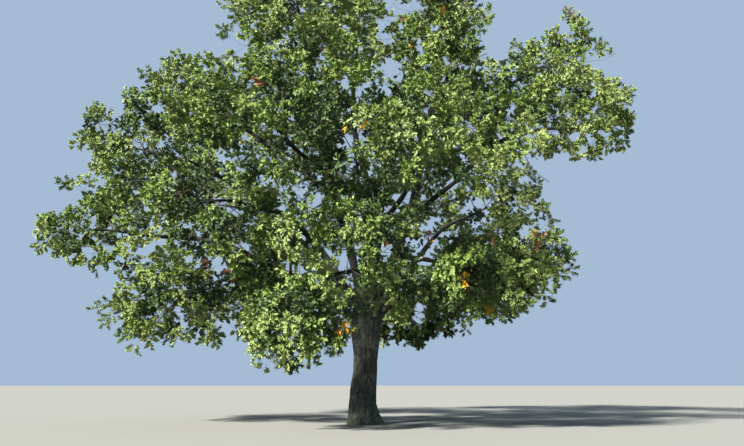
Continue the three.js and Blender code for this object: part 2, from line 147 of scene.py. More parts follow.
# Name, middle and half sizes of each mass, then the limb that its bough leaves, how far along
# that limb, the angle at which the bough sets out, and the bough's radius at its foot.
MASSES = [
    ("left_tip", (-9.35, -0.5, 6.5), (2.4, 2.5, 2.05), "trunk", 0.9, 44, 0.15),
    ("left_main", (-8.75, 0.9, 9.95), (2.35, 2.9, 2.15), "trunk", 0.96, 66, 0.16),
    ("leader_left", (-2.55, -0.7, 15.3), (2.85, 2.7, 2.1), "trunk", 1, 76, 0.17),
    ("leader_mid", (-0.5, 3.1, 16.1), (2.5, 2.9, 2), "trunk", 1, 84, 0.19),
    ("leader_right", (2.85, -0.1, 15.4), (1.95, 2.8, 2.1), "trunk", 1, 64, 0.19),
    ("right_low", (5.2, 0.3, 5.6), (2.6, 2.5, 1.85), "trunk", 0.92, 48, 0.12),
    ("front_main", (1.8, -6.8, 7.8), (3.15, 2.6, 2.3), "trunk", 0.95, 56, 0.14),
    ("back_right", (5.3, 5.6, 8.8), (2.8, 3.2, 2.3), "trunk", 0.93, 52, 0.15),
    ("back_left", (-6.4, 5.7, 8.9), (3.2, 3.2, 2.3), "trunk", 0.95, 56, 0.15),
    ("right_main", (8.7, 0.3, 10.75), (1.8, 2.7, 1.3), "leader_right", 0.55, 16, 0.11),
    ("left_low", (-6.6, 0, 4), (2.95, 2.7, 1.85), "left_tip", 0.35, 20, 0.09),
    ("left_front_low", (-1.9, -4.4, 3.2), (1.8, 2, 1.85), "front_main", 0.3, 15, 0.07),
    ("left_front", (-4.9, -4, 6.6), (3.1, 2.7, 2.4), "left_main", 0.3, 40, 0.1),
    ("front_low", (0, -4.9, 5), (3, 3.1, 2.3), "front_main", 0.45, 20, 0.07),
    ("right_front_low", (3.3, -4.3, 4.35), (2.3, 2.2, 1.45), "front_main", 0.35, 15, 0.08),
    ("right_back_low", (1.8, 4.2, 3.9), (2.1, 2.1, 1.5), "back_right", 0.3, 10, 0.07),
    ("back_right_low", (4.1, 6.3, 5.1), (3.4, 2.8, 1.8), "back_right", 0.5, 15, 0.08),
    ("back_main", (0.2, 8.2, 9.2), (3.3, 2.8, 2.3), "leader_mid", 0.2, 45, 0.12),
    ("back_left_low", (-3.4, 6.4, 5.1), (3.5, 2.8, 1.8), "back_left", 0.5, 15, 0.08),
    ("front_left", (-2.7, -6.3, 8.35), (2.95, 2.5, 2.35), "leader_left", 0.25, 50, 0.1),
    ("right_front", (5.6, -3.9, 9.5), (2.8, 2.8, 1.6), "leader_right", 0.35, 30, 0.1),
    ("right_upper", (7.1, 0.9, 13.3), (2.4, 2.7, 1.9), "leader_right", 0.6, 45, 0.1),
    ("left_upper", (-6.2, -0.4, 11.1), (2.4, 2.8, 1.75), "leader_left", 0.4, 45, 0.1),
    ("front_left_upper", (-1.85, -4.5, 11.8), (2.6, 2.6, 2.3), "leader_left", 0.5, 50, 0.08),
    ("front_right_upper", (2.75, -3.9, 11.15), (2.05, 2.7, 1.9), "leader_right", 0.5, 50, 0.08),
    ("right_back_upper", (3.7, 4.8, 12.7), (3.3, 3, 2.3), "leader_right", 0.42, 45, 0.09),
    ("left_back_upper", (-3.6, 4.8, 12.7), (3.3, 3, 2.3), "leader_mid", 0.35, 45, 0.09),
    ("middle_front", (-0.3, -2.9, 8.6), (2.6, 1.9, 2.2), "front_main", 0.25, 65, 0.07),
    ("left_inner", (-3.4, -1.4, 5.3), (2.1, 2.1, 1.6), "left_tip", 0.2, 30, 0.07),
]

# Sprays: side twigs on an axis or a coarse twig, shoots at the end of each side twig, and
# leaves on each shoot, so that every side twig ends in a tuft
SPRAY_SEED = 7
AXIS_PARTS = 3
AXIS_BOW = 0.05
AXIS_TWIGS = 7
AXIS_TWIG_SHARES = (0.06, 0.98)
AXIS_TWIG_ANGLES = (66, 30)
AXIS_TWIG_CHANCE = (0.85, 1.15)
FAN_START = 0.16
FAN_RISE = 0.86
SPRAY_FLATNESS = 0.6
SPRAY_REACH = 0.5
COARSE_PARTS = 4
COARSE_SAG = 0.03
COARSE_TWIGS = 4
COARSE_TWIG_SHARES = (0.35, 0.95)
COARSE_TWIG_ANGLE = 58
COARSE_TWIG_LENGTH = 0.85
TWIG_CHANCE = (0.7, 1.2)
SHORTEST_TWIG = 0.12
TWIG_DROOP = 0.08
TWIG_WANDER = 0.04
SHARE_CHANCE = (0.1, 0.9)
SHOOTS = 7
SHOOT_SHARES = (0.5, 0.98)
SHOOT_LENGTHS = (0.38, 0.26)
SHOOT_ANGLE = 55
SHOOT_CHANCE = (0.8, 1.2)
TUFT_SHARE = 0.75
SWELL_SIZE = 1.2
SWELL_LIMITS = (0.66, 1.02)
SWELL_OFFSET = 13.2
SWELL_GAIN = 2
CROWN_MIDDLE = (0, 0.5, 8.5)
THIN_MASSES = {
    "right_upper": 0.62, "left_tip": 0.7, "right_main": 0.52, "left_main": 0.85,
    "right_front": 0.88,
}
TIP_LIMIT = 1.03
LEAVES = 27
LEAF_SHARES = np.linspace(0.2, 1, LEAVES) ** 0.8
LEAF_ANGLES = (68, 34)
LEAF_LENGTHS = (0.156, 0.106)
LEAF_LENGTH_CHANCE = (0.8, 1.2)
LEAF_WANDER = 0.2
LEAF_DROOP = 0.15
LEAVES_KEPT = (0.36, 1)
COVER_REACH = 1.4
COVER_LIMITS = (0.55, 1.15)
LEAF_FACING = {"clump": 1, "tuft": 0.35, "up": 0.35, "out": 0.3, "chance": 0.2}
AXIS_RADII = (0.009, 0.004)
SIDE_RADII = (0.0045, 0.0025)
SHOOT_RADIUS = 0.0024
COARSE_SIDES = 5
FINE_SIDES = 3

# Bark relief
TRUNK_SIDES = 64
TRUNK_STEP = 0.08
TRUNK_BELOW = 0.1
TRUNK_VOXEL = 0.026
SMOOTHING = 0.5
SMOOTHING_ROUNDS = 6
TRUNK_LUMPS = 0.02
TRUNK_LUMP_SCALE = 2.1
TRUNK_LUMP_OFFSET = 3
TRUNK_REACH = 0.5
FAR_GAP = 9
LIMB_BARK_START = 0.55
CRACK_WIDTH = 0.075
CRACK_STRETCH = 5
CRACK_DEPTH = 0.02
CRACK_BEND = 0.8
CRACK_BEND_SCALE = 0.6
CRACK_BEND_OFFSET = 11
STUB_SIDES = 24
STUB_RINGS = 16
STUB_LENGTH = 1.5
STUB_ROOT = 0.45
STUB_FLARE = 0.45
STUB_FLARE_LENGTH = 0.28
STUB_END = 0.8
STUB_END_POWER = 3
STEM_TIP = 0.03
BOUGH_LUMPS = 0.14
BOUGH_LUMP_SCALE = 1.3
BOUGH_CRACK_SCALE = 1.35
THIN_CRACK_DEPTH = 0.09
LEAST_RINGS = 8
BARK_SHIFT = 10
MAIN_SKIN = (26, 0.09)
SIDE_SKIN = (14, 0.12)

# Colours and grain of bark and twigs
TWIG_COLOR = (0.05, 0.045, 0.036)
TWIG_ROUGHNESS = 0.85
RIDGE_LOW = (0.03, 0.034, 0.028)
RIDGE_HIGH = (0.08, 0.093, 0.078)
LICHEN = (0.14, 0.165, 0.125)
# Painted shade: the boughs' bark is the trunk's bark darkened to this share
BOUGH_PAINTED_SHADE = 0.28
# The cracks' own dark colour together with painted shade in them
CRACK_COLOR_AND_SHADE = (0.018, 0.015, 0.012)
BARK_ROUGHNESS = 0.9
BARK_SHINE = 0.2
BARK_BUMP = 0.7
BARK_BUMP_DEPTH = 0.012
GRAIN_SCALE = 34
GRAIN_DETAIL = 6
GRAIN_ROUGHNESS = 0.65
GRAIN_STRETCH = 0.22
GRAIN_LIMITS = (0.32, 0.68)
PATCH_SCALE = 2.2
PATCH_DETAIL = 4
PATCH_LIMITS = (0.5, 0.66)
LICHEN_SHARE = 0.7
CRACK_LIMITS = (0.25, 0.95)
CRACK_SHARE = 0.85
PLAIN_SHINE = 0.3

# The coarse and fine lines of the cracks: scale, offset, width and strength
CRACK_LINES = [(1, 0, 0.14, 1), (1.9, 5, 0.12, 0.6)]

# Stage and light
FLOOR_COLOR = (0.18, 0.185, 0.175)
FLOOR_REACH = 1500
SURROUND_COLOR = (0.57, 0.76, 1.0)
SURROUND_STRENGTH = 0.66
KEY_STRENGTH = 18
KEY_SOFTNESS = 5
KEY_COLOR = (1.0, 0.95, 0.86)
KEY_FROM = (-0.56, -0.68, 0.6)

# A leaf's half outline after its base: along, across and up, as shares of its length
LEAF_OUTLINE = [(0.58, 0.27, 0.08), (1, 0, -0.06)]
LEAF_FACES = 2
LEAF_ROUGHNESS = 0.5
LEAF_SHINE = 0.25
MOST_TRIANGLES = 198_000

# Places where the photo shows sky through the crown: across, down and radius, in its pixels
SKY_GAPS = [
    (277, 133, 4), (263, 126, 4), (284, 160, 4), (301, 154, 4), (318, 199, 5), (404, 198, 8),
    (391, 209, 6), (220, 202, 5), (233, 211, 5), (241, 247, 6), (217, 262, 5), (327, 253, 4),
    (344, 254, 4), (289, 267, 5), (301, 270, 5), (396, 6, 9), (386, 22, 7), (384, 38, 6), (346, 28, 4),
    (436, 28, 4), (446, 60, 4), (420, 50, 4), (428, 93, 4), (429, 111, 5), (399, 77, 4), (471, 128, 4),
    (502, 139, 5), (553, 131, 5), (575, 137, 4), (590, 139, 5), (604, 134, 5), (618, 129, 4),
    (563, 28, 5), (588, 60, 4), (513, 107, 4), (492, 36, 9), (487, 52, 7), (544, 225, 5), (525, 231, 5),
    (551, 284, 5), (419, 312, 7), (93, 222, 5), (57, 207, 4), (88, 252, 6), (72, 257, 4), (107, 247, 4),
    (122, 234, 4), (112, 229, 3), (100, 272, 5), (79, 236, 3), (120, 260, 4), (147, 250, 6),
    (105, 125, 5), (139, 144, 6),
]

# The waves of each gap's ragged edge: how many go round it, and their height
GAP_WAVES = [(2, 0.35), (5, 0.25)]

# Dead twigs: foot and tip, across and down in the photo's pixels, the foot's radius, and how far
# the tip comes forward
DEAD_TWIGS = [
    ((517, 160), (536, 176), 0.03, 0.1), ((473, 78), (459, 61), 0.015, 0.5),
    ((480, 74), (492, 66), 0.012, 0.4), ((391, 318), (394, 326), 0.01, 0.3),
]
DEAD_JOINT_SHARES = np.linspace(0.1, 1, 10)
DEAD_SIDE_SHARES = np.array([0.45, 0.65, 0.85])
DEAD_SIDE_ANGLES = np.radians([38, -38, 38])
DEAD_SIDE_LENGTH = 0.32
DEAD_SIDE_FOOT = 1.4
DEAD_SIDES = 4
DEAD_TIP_SHARE = 0.3
DEAD_DEPTH_WEIGHT = 2
DEAD_COLOR = (0.05, 0.047, 0.04)

# Colours, linear
# The darker greens go mostly to tufts deep in the crown and the lighter ones to its outside: painted
# shade and painted light over the greens' own spread
LEAF_TINTS = {
    "deep_shaded": (0.042, 0.072, 0.021),
    "mid": (0.114, 0.17, 0.038),
    "fresh": (0.156, 0.208, 0.06),
    "light_sunlit": (0.176, 0.224, 0.078),
    "gold": (0.42, 0.26, 0.03),
    "rust": (0.16, 0.085, 0.04),
}
TINT_SHARES = {"deep_shaded": 0.28, "mid": 0.34, "fresh": 0.31, "light_sunlit": 0.07}
# The outside weight paints light on the crown's outside and shade inside it
TINT_WEIGHTS = {"spray": 0.25, "tuft": 0.35, "outside_painted_light": 0.4}
STRAY_SHARES = {"gold": 0.0008, "rust": 0.0008}

# Places of autumn tints: across, down and radius in the photo's pixels, the tint, and how many
# of the nearest shoots there take it
AUTUMN = [
    (347, 330, 9, "gold", 4), (467, 278, 8, "gold", 2), (491, 306, 7, "gold", 2),
    (342, 134, 8, "gold", 1), (366, 131, 8, "gold", 1), (439, 6, 7, "gold", 1),
    (416, 46, 7, "gold", 1), (540, 237, 9, "rust", 5), (426, 238, 8, "rust", 3),
    (209, 265, 8, "rust", 4), (254, 84, 7, "rust", 2), (570, 9, 7, "rust", 2),
]


def sizes(vectors):
    """The vectors' lengths."""
    return np.linalg.norm(vectors, axis=-1)


def unit(vectors):
    """The vectors at length 1."""
    return vectors / sizes(vectors)[..., None]


def dot(a, b):
    return (a * b).sum(axis=-1)


def mixed(a, b, share):
    return a + (b - a) * share


def arch(share):
    """A bow that is 0 at both ends and 1 halfway."""
    return 4 * share * (1 - share)


def rounded(number):
    """The nearest whole number, halves upwards as in the solids' rule."""
    return math.floor(number + 0.5)


def seeded(seed):
    """The solids' own generator of draws from 0 to 1."""
    state = seed
    first, second, third = SEED_SHIFTS

    def draw():
        nonlocal state
        state = (state + SEED_STEP) % WORD
        t = (state ^ (state >> first)) * (state | 1) % WORD
        t ^= (t + (t ^ (t >> second)) * (t | SEED_MIX)) % WORD
        return (t ^ (t >> third)) / WORD

    return draw


def scattered(draw):
    return np.array([draw() for _ in range(3)]) - 0.5


def noise_at(points):
    return np.array([noise.noise(point) for point in points.tolist()])


def gathered(things, name):
    """One value of each thing, as an array."""
    return np.array([getattr(thing, name) for thing in things])


# The spaces of the masses, and the limbs


def make_masses():
    masses = []
    for index, (name, centre, half, parent, share, rise, radius) in enumerate(MASSES):
        masses.append(SimpleNamespace(
            name=name, centre=np.array(centre, float), half=np.array(half, float), parent=parent,
            share=share, rise=math.radians(rise), radius=radius, phase=CROOK_PHASE * index,
            scale=np.cbrt(np.prod(half)) / MASS_SIZE, normals=[], at=[],
        ))
    return masses


def reach(mass, direction):
    """How far an ellipsoid reaches from its middle along a direction."""
    return 1 / sizes(direction / mass.half)


def set_limits(masses):
    """Flat limits between neighbours, each held as an outward normal and its distance."""
    for i, a in enumerate(masses):
        for b in masses[i + 1:]:
            normal = b.centre - a.centre
            distance = sizes(normal)
            normal = normal / distance
            reach_a = reach(a, normal)
            reach_b = reach(b, normal)
            if reach_a + reach_b < distance - NEIGHBOUR_RANGE:
                continue
            at = normal @ a.centre + distance * reach_a / (reach_a + reach_b)
            a.normals.append(normal)
            a.at.append(at - SPACE_GAP / 2)
            b.normals.append(-normal)
            b.at.append(-at - SPACE_GAP / 2)
    for mass in masses:
        mass.normals = np.array(mass.normals).reshape(-1, 3)
        mass.room = np.array(mass.at) - mass.normals @ mass.centre


def border(mass, directions):
    """How far a mass's space reaches from its middle along each direction."""
    slope = directions @ mass.normals.T
    limit = np.where(slope > TINY, mass.room / np.maximum(slope, TINY), np.inf)
    return np.minimum(reach(mass, directions), limit.min(axis=-1, initial=np.inf))


def in_space(mass, points, scale):
    offset = points - mass.centre
    distance = np.maximum(sizes(offset), TINY)
    inside = distance < scale * border(mass, offset / distance[..., None])
    return inside | (distance < SLIGHT)


def set_curve(mass, by_name):
    """A bough's curve from its parent, share 0, to the middle of its mass, share 1."""
    if mass.parent == "trunk":
        mass.start = np.array([FORK_SHIFT * mass.share, 0, FORK_HEIGHT * mass.share])
    else:
        parent = by_name[mass.parent]
        mass.start = point_on(parent, mass.share * parent.entry)
    chord = mass.centre - mass.start
    mass.length = sizes(chord)
    level = unit(np.array([chord[0], chord[1], 0]))
    setting_out = level * math.cos(mass.rise) + UP * math.sin(mass.rise)
    mass.bend = mass.start + setting_out * mass.length / 2
    mass.aside = np.cross(level, UP)


def point_on(mass, t):
    """Points of a mass's curve at one share or an array of shares."""
    t = np.asarray(t)[..., None]
    point = mass.start * (1 - t) ** 2 + mass.bend * 2 * t * (1 - t) + mass.centre * t ** 2
    fade = arch(t) * CROOK * mass.length
    point = point + mass.aside * fade * np.sin(CROOK_WAVES[0] * t + mass.phase)
    return point + UP * fade * CROOK_RISE * np.sin(CROOK_WAVES[1] * t + 2 * mass.phase)


def entry_of(mass):
    """Where a bough ends: all the rest of its curve lies well inside its mass."""
    t = 1
    while t > ENTRY_LEAST and in_space(mass, point_on(mass, t - ENTRY_STEP), ENTRY):
        t -= ENTRY_STEP
    return t


def bough_radius(mass, t, points):
    """A bough's radius at shares of its curve up to its entry, with a collar at its foot."""
    plain = mass.radius + (BOUGH_TIP - mass.radius) * t / mass.entry
    away = sizes(points - mass.start)
    return plain * (1 + COLLAR * np.exp(-away / COLLAR_LENGTH))


def set_limbs(masses):
    by_name = {mass.name: mass for mass in masses}
    for mass in masses:
        set_curve(mass, by_name)
        mass.entry = entry_of(mass)
        before, after = point_on(mass, mass.entry + ENTRY_STEP * np.array([-1, 1]))
        mass.tip_ahead = unit(after - before)
        steps = max(LEAST_STEPS, rounded(mass.entry * mass.length / BOUGH_STEP))
        shares = mass.entry * np.arange(steps + 1) / steps
        mass.path = point_on(mass, shares)
        mass.radii = bough_radius(mass, shares, mass.path)


# The rule for coarse twigs and for the large leaves that mark out the sprays


def distance_to_parts(points, a, b):
    """Distances of points to the straight parts from a to b, one row for each point."""
    part = b - a
    share = np.clip(dot(points[:, None] - a, part) / dot(part, part), 0, 1)
    return sizes(points[:, None] - a - part * share[..., None])


def limbs_near(mass, masses):
    """The parts of limbs that come near a mass, each with its radius."""
    starts = [np.zeros((1, 3))] + [each.path[:-1] for each in masses]
    ends = [np.array([[FORK_SHIFT, 0, FORK_HEIGHT]])] + [each.path[1:] for each in masses]
    radii = [[TRUNK_RADII[0]]] + [np.maximum(each.radii[:-1], each.radii[1:]) for each in masses]
    a = np.concatenate(starts)
    b = np.concatenate(ends)
    radius = np.concatenate(radii)
    distance = distance_to_parts(mass.centre[None], a, b)[0]
    near = distance < mass.half.max() + LIMB_RANGE + radius
    return SimpleNamespace(a=a[near], b=b[near], radius=radius[near])


def clear_of(near, points, clearance):
    return bool((distance_to_parts(points, near.a, near.b) > near.radius + clearance).all())


def blade_points(leaf, along, across):
    """Points of a leaf's blade from shares of its length and width."""
    along = np.asarray(along, float)[..., None]
    across = np.asarray(across, float)[..., None]
    return leaf.root + leaf.ahead * along * leaf.length + leaf.aside * across * leaf.width


def corners(leaf):
    return blade_points(leaf, [0, LEAF_WIDEST, 1, LEAF_WIDEST], [0, 0.5, 0, -0.5])


def half_width(along):
    """Half the width of a large leaf at a share of its length, as a share of its full width."""
    return 0.5 * np.minimum(along / LEAF_WIDEST, (1 - along) / (1 - LEAF_WIDEST))


def cuts(leaf, a, b):
    """Whether any of the lines from a to b passes through a leaf's blade."""
    height_a = dot(a - leaf.root, leaf.face)
    height_b = dot(b - leaf.root, leaf.face)
    with np.errstate(divide="ignore", invalid="ignore"):
        share = height_a / (height_a - height_b)
        at = a + (b - a) * share[..., None] - leaf.root
        along = dot(at, leaf.ahead) / leaf.length
        across = np.abs(dot(at, leaf.aside)) / leaf.width
        within = across < half_width(along) + CUT_MARGIN
        return bool((within & (height_a * height_b <= 0)).any())


def leaf_fits(mass, near, grown, leaf):
    """Whether its corners stay in the space, its blade clears the limbs and nothing crosses it."""
    edge = corners(leaf)
    if not in_space(mass, edge, LEAF_INSIDE).all():
        return False
    if grown.twigs and cuts(leaf, gathered(grown.twigs, "start"), gathered(grown.twigs, "end")):
        return False
    if grown.leaves:
        others = np.array([corners(other) for other in grown.leaves])
        if cuts(leaf, others, np.roll(others, -1, axis=1)):
            return False
        if any(cuts(other, edge, np.roll(edge, -1, axis=0)) for other in grown.leaves):
            return False
    along = np.repeat(np.arange(1, BLADE_ROWS + 1) / BLADE_ROWS, len(BLADE_COLUMNS))
    across = half_width(along) * np.tile(BLADE_COLUMNS, BLADE_ROWS)
    return clear_of(near, blade_points(leaf, along, across), LEAF_CLEARANCE)


def find_leaf(mass, near, grown, draw, root, out, around, spread, along, bend):
    """Tries directions from one root until a leaf fits, a little smaller each time."""
    side = np.cross(out, UP)
    side = unit(side) if sizes(side) >= LEVEL_LEAST else np.array([1.0, 0, 0])
    over = np.cross(side, out)
    for attempt in range(LEAF_TRIES):
        turn = around + (draw() - 0.5) * (LEAF_TURN[0] + LEAF_TURN[1] * attempt)
        opening = spread[0] + spread[1] * draw()
        ahead = out + side * math.cos(turn) * opening
        ahead = ahead + over * LEAF_FLATNESS * math.sin(turn) * opening
        facing = out + scattered(draw) * LEAF_FACE_SCATTER + UP * LEAF_FACE_RISE
        ahead = unit(unit(ahead) + along * bend)
        aside = np.cross(ahead, facing)
        if sizes(aside) < LEAF_FACE_LEAST or (bend and ahead @ along < LEAF_BEND):
            continue
        aside = unit(aside)
        size = mass.scale * (1 - LEAF_SHRINK * attempt)
        leaf = SimpleNamespace(
            root=root, ahead=ahead, aside=aside, face=np.cross(aside, ahead),
            length=LEAF_LENGTH * size, width=LEAF_WIDTH * size,
        )
        if leaf_fits(mass, near, grown, leaf):
            return leaf
    return None


def twig_ends(mass, start, draw):
    """Where twigs may end: spread round the mass by the golden angle, nearest the stem first."""
    phase = draw() * 2 * math.pi
    count = rounded(TWIGS * math.sqrt(mass.scale))
    ends = []
    for k in range(count):
        z = 1 - 2 * (k + 0.5) / count
        flat = math.sqrt(1 - z * z)
        turn = k * GOLDEN_ANGLE + phase
        choices = []
        for i in range(END_TRIES):
            out = np.array([flat * math.cos(turn), flat * math.sin(turn), z])
            out = unit((out + scattered(draw) * END_SCATTER * i) * mass.half)
            far = border(mass, out)
            deep_shaded = mass.scale * LEAF_LENGTH * (END_DEPTH[0] + END_DEPTH[1] * draw())
            choices.append((out, mass.centre + out * max(END_NEAREST * far, far - deep_shaded)))
        ends.append((sizes(choices[0][1] - start), choices))
    return [choices for _, choices in sorted(ends, key=lambda end: end[0])]


def stem_joints(stem):
    """Points along the stem where twigs can join it."""
    length = sizes(stem[STEM_PARTS] - stem[0])
    joints = []
    for k in range(STEM_JOINTS):
        share = mixed(*STEM_JOINT_SHARES, k / (STEM_JOINTS - 1))
        part = math.floor(share * STEM_PARTS)
        point = mixed(stem[part], stem[part + 1], share * STEM_PARTS - part)
        radius = mixed(BOUGH_TIP, STEM_END, share)
        joints.append(SimpleNamespace(point=point, way=share * length, radius=radius, order=0))
    return joints


def grow_twig(mass, near, grown, draw, out, point):
    """A twig to one end, from the nearest free joint that has a clear way, if a leaf fits there."""
    def clear(joint):
        way = mixed(joint.point, point, TWIG_TESTS[:, None])
        straight = joint.point[None], point[None]
        return clear_of(near, way, TWIG_CLEARANCE) and not any(
            cuts(leaf, *straight) for leaf in grown.leaves)

    def cost(joint):
        return sizes(point - joint.point) + PATH_WEIGHT * joint.way

    joint = next((joint for joint in sorted(grown.joints, key=cost) if clear(joint)), None)
    if joint is None:
        return False
    length = sizes(point - joint.point)
    along = (point - joint.point) / length
    around = draw() * 2 * math.pi
    end = find_leaf(mass, near, grown, draw, point, out, around, END_SPREAD, along, END_PULL)
    if end is None:
        return False
    grown.leaves.append(end)
    beside = mixed(joint.point, point, SIDE_LEAF_SHARE)
    side = find_leaf(mass, near, grown, draw, beside, out, around + math.pi, SIDE_SPREAD, along, 0)
    if side is not None:
        grown.leaves.append(side)
    foot = joint.radius * FORK_RATIO
    grown.twigs.append(SimpleNamespace(start=joint.point, end=point, foot=foot))
    grown.joints = [each for each in grown.joints if each is not joint]
    if joint.order < TWIG_ORDERS:
        for share in TWIG_JOINTS:
            grown.joints.append(SimpleNamespace(
                point=mixed(joint.point, point, share), way=joint.way + length * share,
                radius=foot * mixed(1, TWIG_TAPER, share), order=joint.order + 1,
            ))
    return True


def grow(mass, index, masses):
    """Stem, coarse twigs and large leaves of one mass."""
    draw = seeded(SEED + index)
    near = limbs_near(mass, masses)
    stem = point_on(mass, mass.entry + (1 - mass.entry) * np.arange(STEM_PARTS + 1) / STEM_PARTS)
    stem[0] += mass.tip_ahead * CLEARANCE
    grown = SimpleNamespace(twigs=[], leaves=[], joints=stem_joints(stem))
    for choices in twig_ends(mass, stem[1], draw):
        for out, point in choices:
            if grow_twig(mass, near, grown, draw, out, point):
                break
    return grown


# Meshes from arrays


def placed(name, data):
    """A new object in the scene, with a mesh, a light or a camera as its data."""
    new = bpy.data.objects.new(name, data)
    bpy.context.scene.collection.objects.link(new)
    return new


def mesh_object(name, points, triangles, material, smooth=False):
    """A piece from arrays of points and triangles."""
    mesh = bpy.data.meshes.new(name)
    mesh.vertices.add(len(points))
    mesh.vertices.foreach_set("co", np.ascontiguousarray(points, np.float32).ravel())
    mesh.loops.add(3 * len(triangles))
    mesh.loops.foreach_set("vertex_index", np.ascontiguousarray(triangles, np.int32).ravel())
    mesh.polygons.add(len(triangles))
    mesh.polygons.foreach_set("loop_start", np.arange(0, 3 * len(triangles), 3, dtype=np.int32))
    mesh.polygons.foreach_set("use_smooth", np.full(len(triangles), smooth))
    mesh.update()
    mesh.materials.append(material)
    return placed(name, mesh)


def joined(parts):
    """One array of points and one of triangles from several."""
    points = []
    triangles = []
    base = 0
    for part_points, part_triangles in parts:
        points.append(part_points)
        triangles.append(part_triangles + base)
        base += len(part_points)
    return np.concatenate(points), np.concatenate(triangles)


def repeated(faces, points_each, count):
    """The same triangles for each of many parts that have equal numbers of points."""
    return (faces + points_each * np.arange(count)[:, None, None]).reshape(-1, 3)


def tube_faces(sides, rings):
    """Triangles between the rings of one tube."""
    ring = np.arange(sides)
    following = (ring + 1) % sides
    lower = np.stack([ring, following, following + sides], axis=1)
    upper = np.stack([ring, following + sides, ring + sides], axis=1)
    return repeated(np.concatenate([lower, upper]), sides, rings - 1)


def cap_faces(sides, base, middle):
    """Triangles from a ring, whose first point has the number base, to the point in its middle."""
    ring = np.arange(sides)
    return np.stack([base + ring, base + (ring + 1) % sides, np.full(sides, middle)], axis=1)


def ring_angles(sides):
    return 2 * np.pi * np.arange(sides) / sides


def turned(first, second, angle):
    """Directions at angles from the first of two square ones towards the second."""
    return first * np.cos(angle)[..., None] + second * np.sin(angle)[..., None]


def ahead_of(paths):
    """The direction from the first to the last point of each path: paths x 1 x 3."""
    return unit(paths[:, -1] - paths[:, 0])[:, None]


def across_of(directions):
    """Two directions square to each given one."""
    helper = np.where(np.abs(directions[..., 2:]) < STEEP, UP, np.array([1.0, 0, 0]))
    first = unit(np.cross(directions, helper))
    return first, np.cross(directions, first)


def tubes(paths, radii, sides):
    """Open tubes along many paths of equal counts. paths is tubes x rings x 3, radii alike."""
    count, rings = radii.shape
    ahead = np.gradient(paths, axis=1)
    first = across_of(ahead_of(paths))[0]
    first = unit(first - ahead * (dot(first, ahead) / dot(ahead, ahead))[..., None])
    second = unit(np.cross(ahead, first))
    around = turned(first[:, :, None], second[:, :, None], ring_angles(sides))
    points = paths[:, :, None] + around * radii[:, :, None, None]
    return points.reshape(-1, 3), repeated(tube_faces(sides, rings), sides * rings, count)


# Sprays


def pixels(points):
    """Where points fall in the photo."""
    pitch = math.radians(CAMERA_PITCH)
    offset = points - np.array(CAMERA)
    depth = offset[..., 1] * math.cos(pitch) + offset[..., 2] * math.sin(pitch)
    height = offset[..., 2] * math.cos(pitch) - offset[..., 1] * math.sin(pitch)
    across = PHOTO[0] / 2 + FOCAL_PIXELS * offset[..., 0] / depth
    return across, PHOTO[1] / 2 - FOCAL_PIXELS * height / depth


def at_pixel(across, down, depth_y):
    """The point that falls on a place in the photo and has the given y."""
    pitch = math.radians(CAMERA_PITCH)
    slope = (PHOTO[1] / 2 - down) / FOCAL_PIXELS
    back = depth_y - CAMERA[1]
    rise = back * (math.sin(pitch) + slope * math.cos(pitch))
    rise = rise / (math.cos(pitch) - slope * math.sin(pitch))
    depth = back * math.cos(pitch) + rise * math.sin(pitch)
    x = CAMERA[0] + (across - PHOTO[0] / 2) / FOCAL_PIXELS * depth
    return np.array([x, depth_y, CAMERA[2] + rise])


def in_sky_gap(points):
    """Whether the photo shows sky through the crown where points fall."""
    across, down = pixels(points)
    gap = np.zeros(across.shape, bool)
    for middle, height, radius in SKY_GAPS:
        turn = np.arctan2(down - height, across - middle)
        ragged = 1
        for (count, size), phase in zip(GAP_WAVES, (middle, height)):
            ragged = ragged + size * np.sin(count * turn + phase)
        gap |= np.hypot(across - middle, down - height) < radius * ragged
    return gap


def spray_frames(grown):
    """Root, directions, sizes and mass of each spray as arrays."""
    leaves = [leaf for each in grown for leaf in each.leaves]
    mass = np.repeat(np.arange(len(grown)), [len(each.leaves) for each in grown])
    return SimpleNamespace(mass=mass, **{name: gathered(leaves, name) for name in vars(leaves[0])})


def grow_axes(spray, random):
    """The slightly bowed axis of each spray."""
    share = np.linspace(0, 1, AXIS_PARTS + 1)[:, None]
    length = spray.length[:, None, None]
    bow = random.uniform(-AXIS_BOW, AXIS_BOW, (2, len(spray.mass), 1, 1)) * length
    straight = spray.root[:, None] + spray.ahead[:, None] * length * share
    sideways = spray.face[:, None] * bow[0] + spray.aside[:, None] * bow[1]
    return straight + sideways * arch(share)


def along_paths(paths, shares):
    """Points of many paths of equal counts, at several shares of each. Gives paths x shares x 3."""
    parts = paths.shape[1] - 1
    at = np.clip(shares * parts, 0, parts - TINY)
    part = at.astype(int)
    row = np.arange(len(paths))[:, None]
    return mixed(paths[row, part], paths[row, part + 1], (at - part)[..., None])


def spread_shares(count, each, shares, random):
    """Shares that are spread evenly along each of many twigs, with some chance in them."""
    steps = (np.arange(each) + random.uniform(*SHARE_CHANCE, (count, each))) / each
    return mixed(*shares, steps)


def bent_twigs(start, direction, length, random):
    """Side twigs of three points that wander a little and droop towards their ends."""
    reach_out = direction * length[..., None]
    middle = start + reach_out / 2 + random.normal(0, TWIG_WANDER, start.shape) * length[..., None]
    end = start + reach_out - UP * TWIG_DROOP * length[..., None]
    return np.stack([start, middle, end], axis=-2)


def fanned_out(ahead, across, count, angle, random):
    """Directions at an angle from the one ahead, spread round it by the golden angle."""
    turn = np.arange(count) * GOLDEN_ANGLE + random.uniform(0, 2 * np.pi, (len(ahead), 1))
    return turned(ahead, turned(*across, turn), angle)


